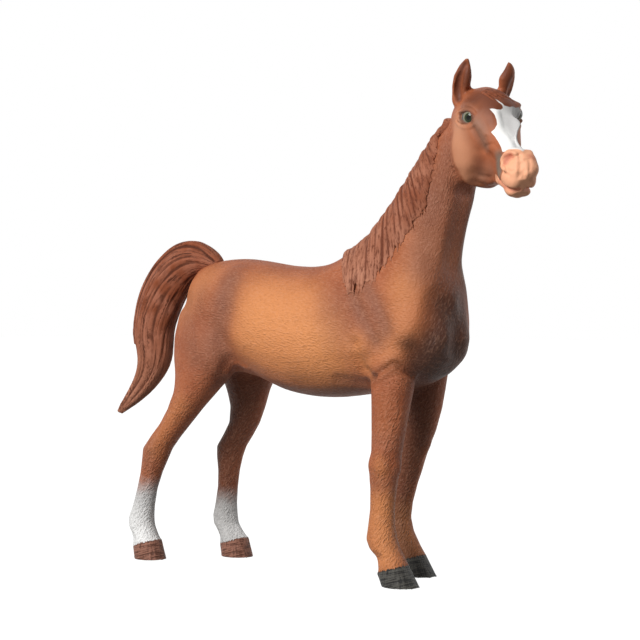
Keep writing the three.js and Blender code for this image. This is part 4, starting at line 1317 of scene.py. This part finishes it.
def tail_strands(count, thick, depth, seed):
    """Strands all round the tail, of a thickness and sunk below its outline, both in mm."""
    chance = np.random.default_rng(seed)
    stations = np.arange(len(tail_rows))
    lines, lanes = [], []
    for i in range(count):
        angle = 2 * math.pi * (i + chance.uniform(-0.35, 0.35)) / count
        drift, sway, phase = chance.normal(0.35, 0.3), chance.normal(0, 0.12), chance.uniform(0, 6.3)
        last = len(tail_rows) - 1 - abs(chance.normal(0, 1.2))
        low = depth + chance.uniform(-0.2, 0.25)
        if math.cos(angle) > 0.8 and thick < 0.6:
            last, low = lock_end, -0.15
        steps = np.linspace(0, 1, 40)
        line = []
        for t in steps:
            row = last * t
            outer = np.array([np.interp(row, stations, column) for column in tail_outer.T])
            inner = np.array([np.interp(row, stations, column) for column in tail_inner.T])
            half = np.interp(row, stations, tail_half)
            turn = angle + drift * t + sway * math.sin(9 * t + phase)
            inset = min(low, 0.8 * half)
            across = (outer - inner) / 2
            reach = max(0.05, 1 - inset / max(np.linalg.norm(across), 0.5))
            sideways = np.array([0, (half - inset) * math.sin(turn), 0])
            line.append((outer + inner) / 2 + across * reach * math.cos(turn) + sideways)
        fading = np.clip((1 - steps) / 0.3, 0.35, 1) ** 0.7
        lines.append((eased(np.array(line)), thick * np.minimum(0.6 + 3 * steps, 1) * fading))
        lanes.append((3.5 * math.cos(angle), 3.5 * math.sin(angle)))
    return lines, lanes


thick_lines, thick_lanes = tail_strands(count=40, thick=0.9, depth=1.0, seed=11)
thin_lines, thin_lanes = tail_strands(count=52, thick=0.5, depth=0.45, seed=12)
tail_lines, tail_lanes = thick_lines + thin_lines, thick_lanes + thin_lanes
tail_core = core_of("tail", shrink=0.9)
moulded_hair("tail_hair", tail_lines, tail_lanes, 0.25, tail_material, "tail", tail_core)

# Forelock
# Fine relief on the head's moulding, painted as the tail is: a few thin strands that lie close on the
# forehead, from the poll towards the blaze.

# Columns: points of the picture for a strand's root and tip.
forelock_ends = [
    ((481, 92), (497, 103)),
    ((482, 91), (502, 102)),
    ((483, 90), (506, 101.5)),
    ((484, 90), (509, 103)),
    ((485, 89.5), (513, 102.5)),
    ((486, 89), (516, 104)),
    ((488, 89), (519, 104.5)),
    ((490, 89), (521, 106)),
    ((493, 89), (517, 101)),
]
forelock_thick, forelock_lift, forelock_sunk = 0.24, 0.14, 0.12
lane_step = 0.5
steps = np.linspace(0, 1, 14)
forelock_lines, forelock_lanes = [], []
for index, (root, tip) in enumerate(forelock_ends):
    line = []
    for t in steps:
        u = root[0] + (tip[0] - root[0]) * t
        v = root[1] + (tip[1] - root[1]) * (0.7 * t + 0.3 * t * t)
        spot, normal, _, _ = head_skin.find_nearest(Vector(seen(head_skin, [(u, v)])[0]))
        line.append(spot + normal * (forelock_lift * math.sin(math.pi * t) - forelock_sunk))
    forelock_lines.append((eased(np.array(line)), forelock_thick * np.clip((1 - steps) / 0.5, 0.4, 1)))
    forelock_lanes.append((index * lane_step, 0))
moulded_hair("forelock_hair", forelock_lines, forelock_lanes, 0.13, tail_material, None)

# Floor and light
# White paper under and behind the figure, a soft lamp before the horse's right side, left of the camera, and
# a weak one behind its left side, which lights its edges. All places here are in metres.

floor_half = 4
floor_seen_light = 0.97
sky_fill, sky_seen_light = 0.07, 1.0


def seen_directly(tree):
    """1 for what the camera or a reflection sees, and 0 for the light that falls on the horse."""
    ray = add(tree, "ShaderNodeLightPath", out=None)
    sockets = {0: ray["Is Camera Ray"], 1: ray["Is Glossy Ray"]}
    return add(tree, "ShaderNodeMath", sockets, operation="MAXIMUM")


floor_mesh = bpy.data.meshes.new("floor")
floor_corners = [(x * floor_half, y * floor_half, 0) for x, y in ((-1, -1), (1, -1), (1, 1), (-1, 1))]
floor_mesh.from_pydata(floor_corners, [], [(0, 1, 2, 3)])
floor = placed("floor", floor_mesh)
# Matt paper. The camera sees it white, while the horse gets only the grey of its shaded colour.
paper = bpy.data.materials.new("white paper floor")
paper.use_nodes = True
tree = paper.node_tree
shader = tree.nodes["Principled BSDF"]
shader.inputs["Base Color"].default_value = linear("#6E6D6B")
shader.inputs["Roughness"].default_value = 0.9
glow = add(tree, "ShaderNodeMath", {0: seen_directly(tree), 1: floor_seen_light}, operation="MULTIPLY")
shader.inputs["Emission Color"].default_value = (1, 1, 1, 1)
tree.links.new(glow, shader.inputs["Emission Strength"])
floor.data.materials.append(paper)

world = bpy.data.worlds.new("studio")
bpy.context.scene.world = world
world.use_nodes = True
tree = world.node_tree
sky = tree.nodes["Background"]
sky.inputs["Color"].default_value = (1, 1, 1, 1)
level = add(tree, "ShaderNodeMix", {0: seen_directly(tree), 2: sky_fill, 3: sky_seen_light})
tree.links.new(level, sky.inputs["Strength"])


def lamp(name, place, aim, size, power):
    """A square lamp of a size in metres and a power in watts."""
    data = bpy.data.lights.new(name, "AREA")
    data.size = size
    data.energy = power
    holder = placed(name, data)
    holder.location = place
    holder.rotation_euler = (Vector(aim) - Vector(place)).to_track_quat("-Z", "Y").to_euler()


lamp("key", place=(-0.03, -0.69, 0.46), aim=(0, 0, 0.06), size=0.34, power=7.2)
lamp("edge light", place=(0.45, 0.55, 0.2), aim=(0, 0, 0.08), size=0.3, power=1.1)

# Colours show as they are set.
bpy.context.scene.view_settings.view_transform = "Standard"
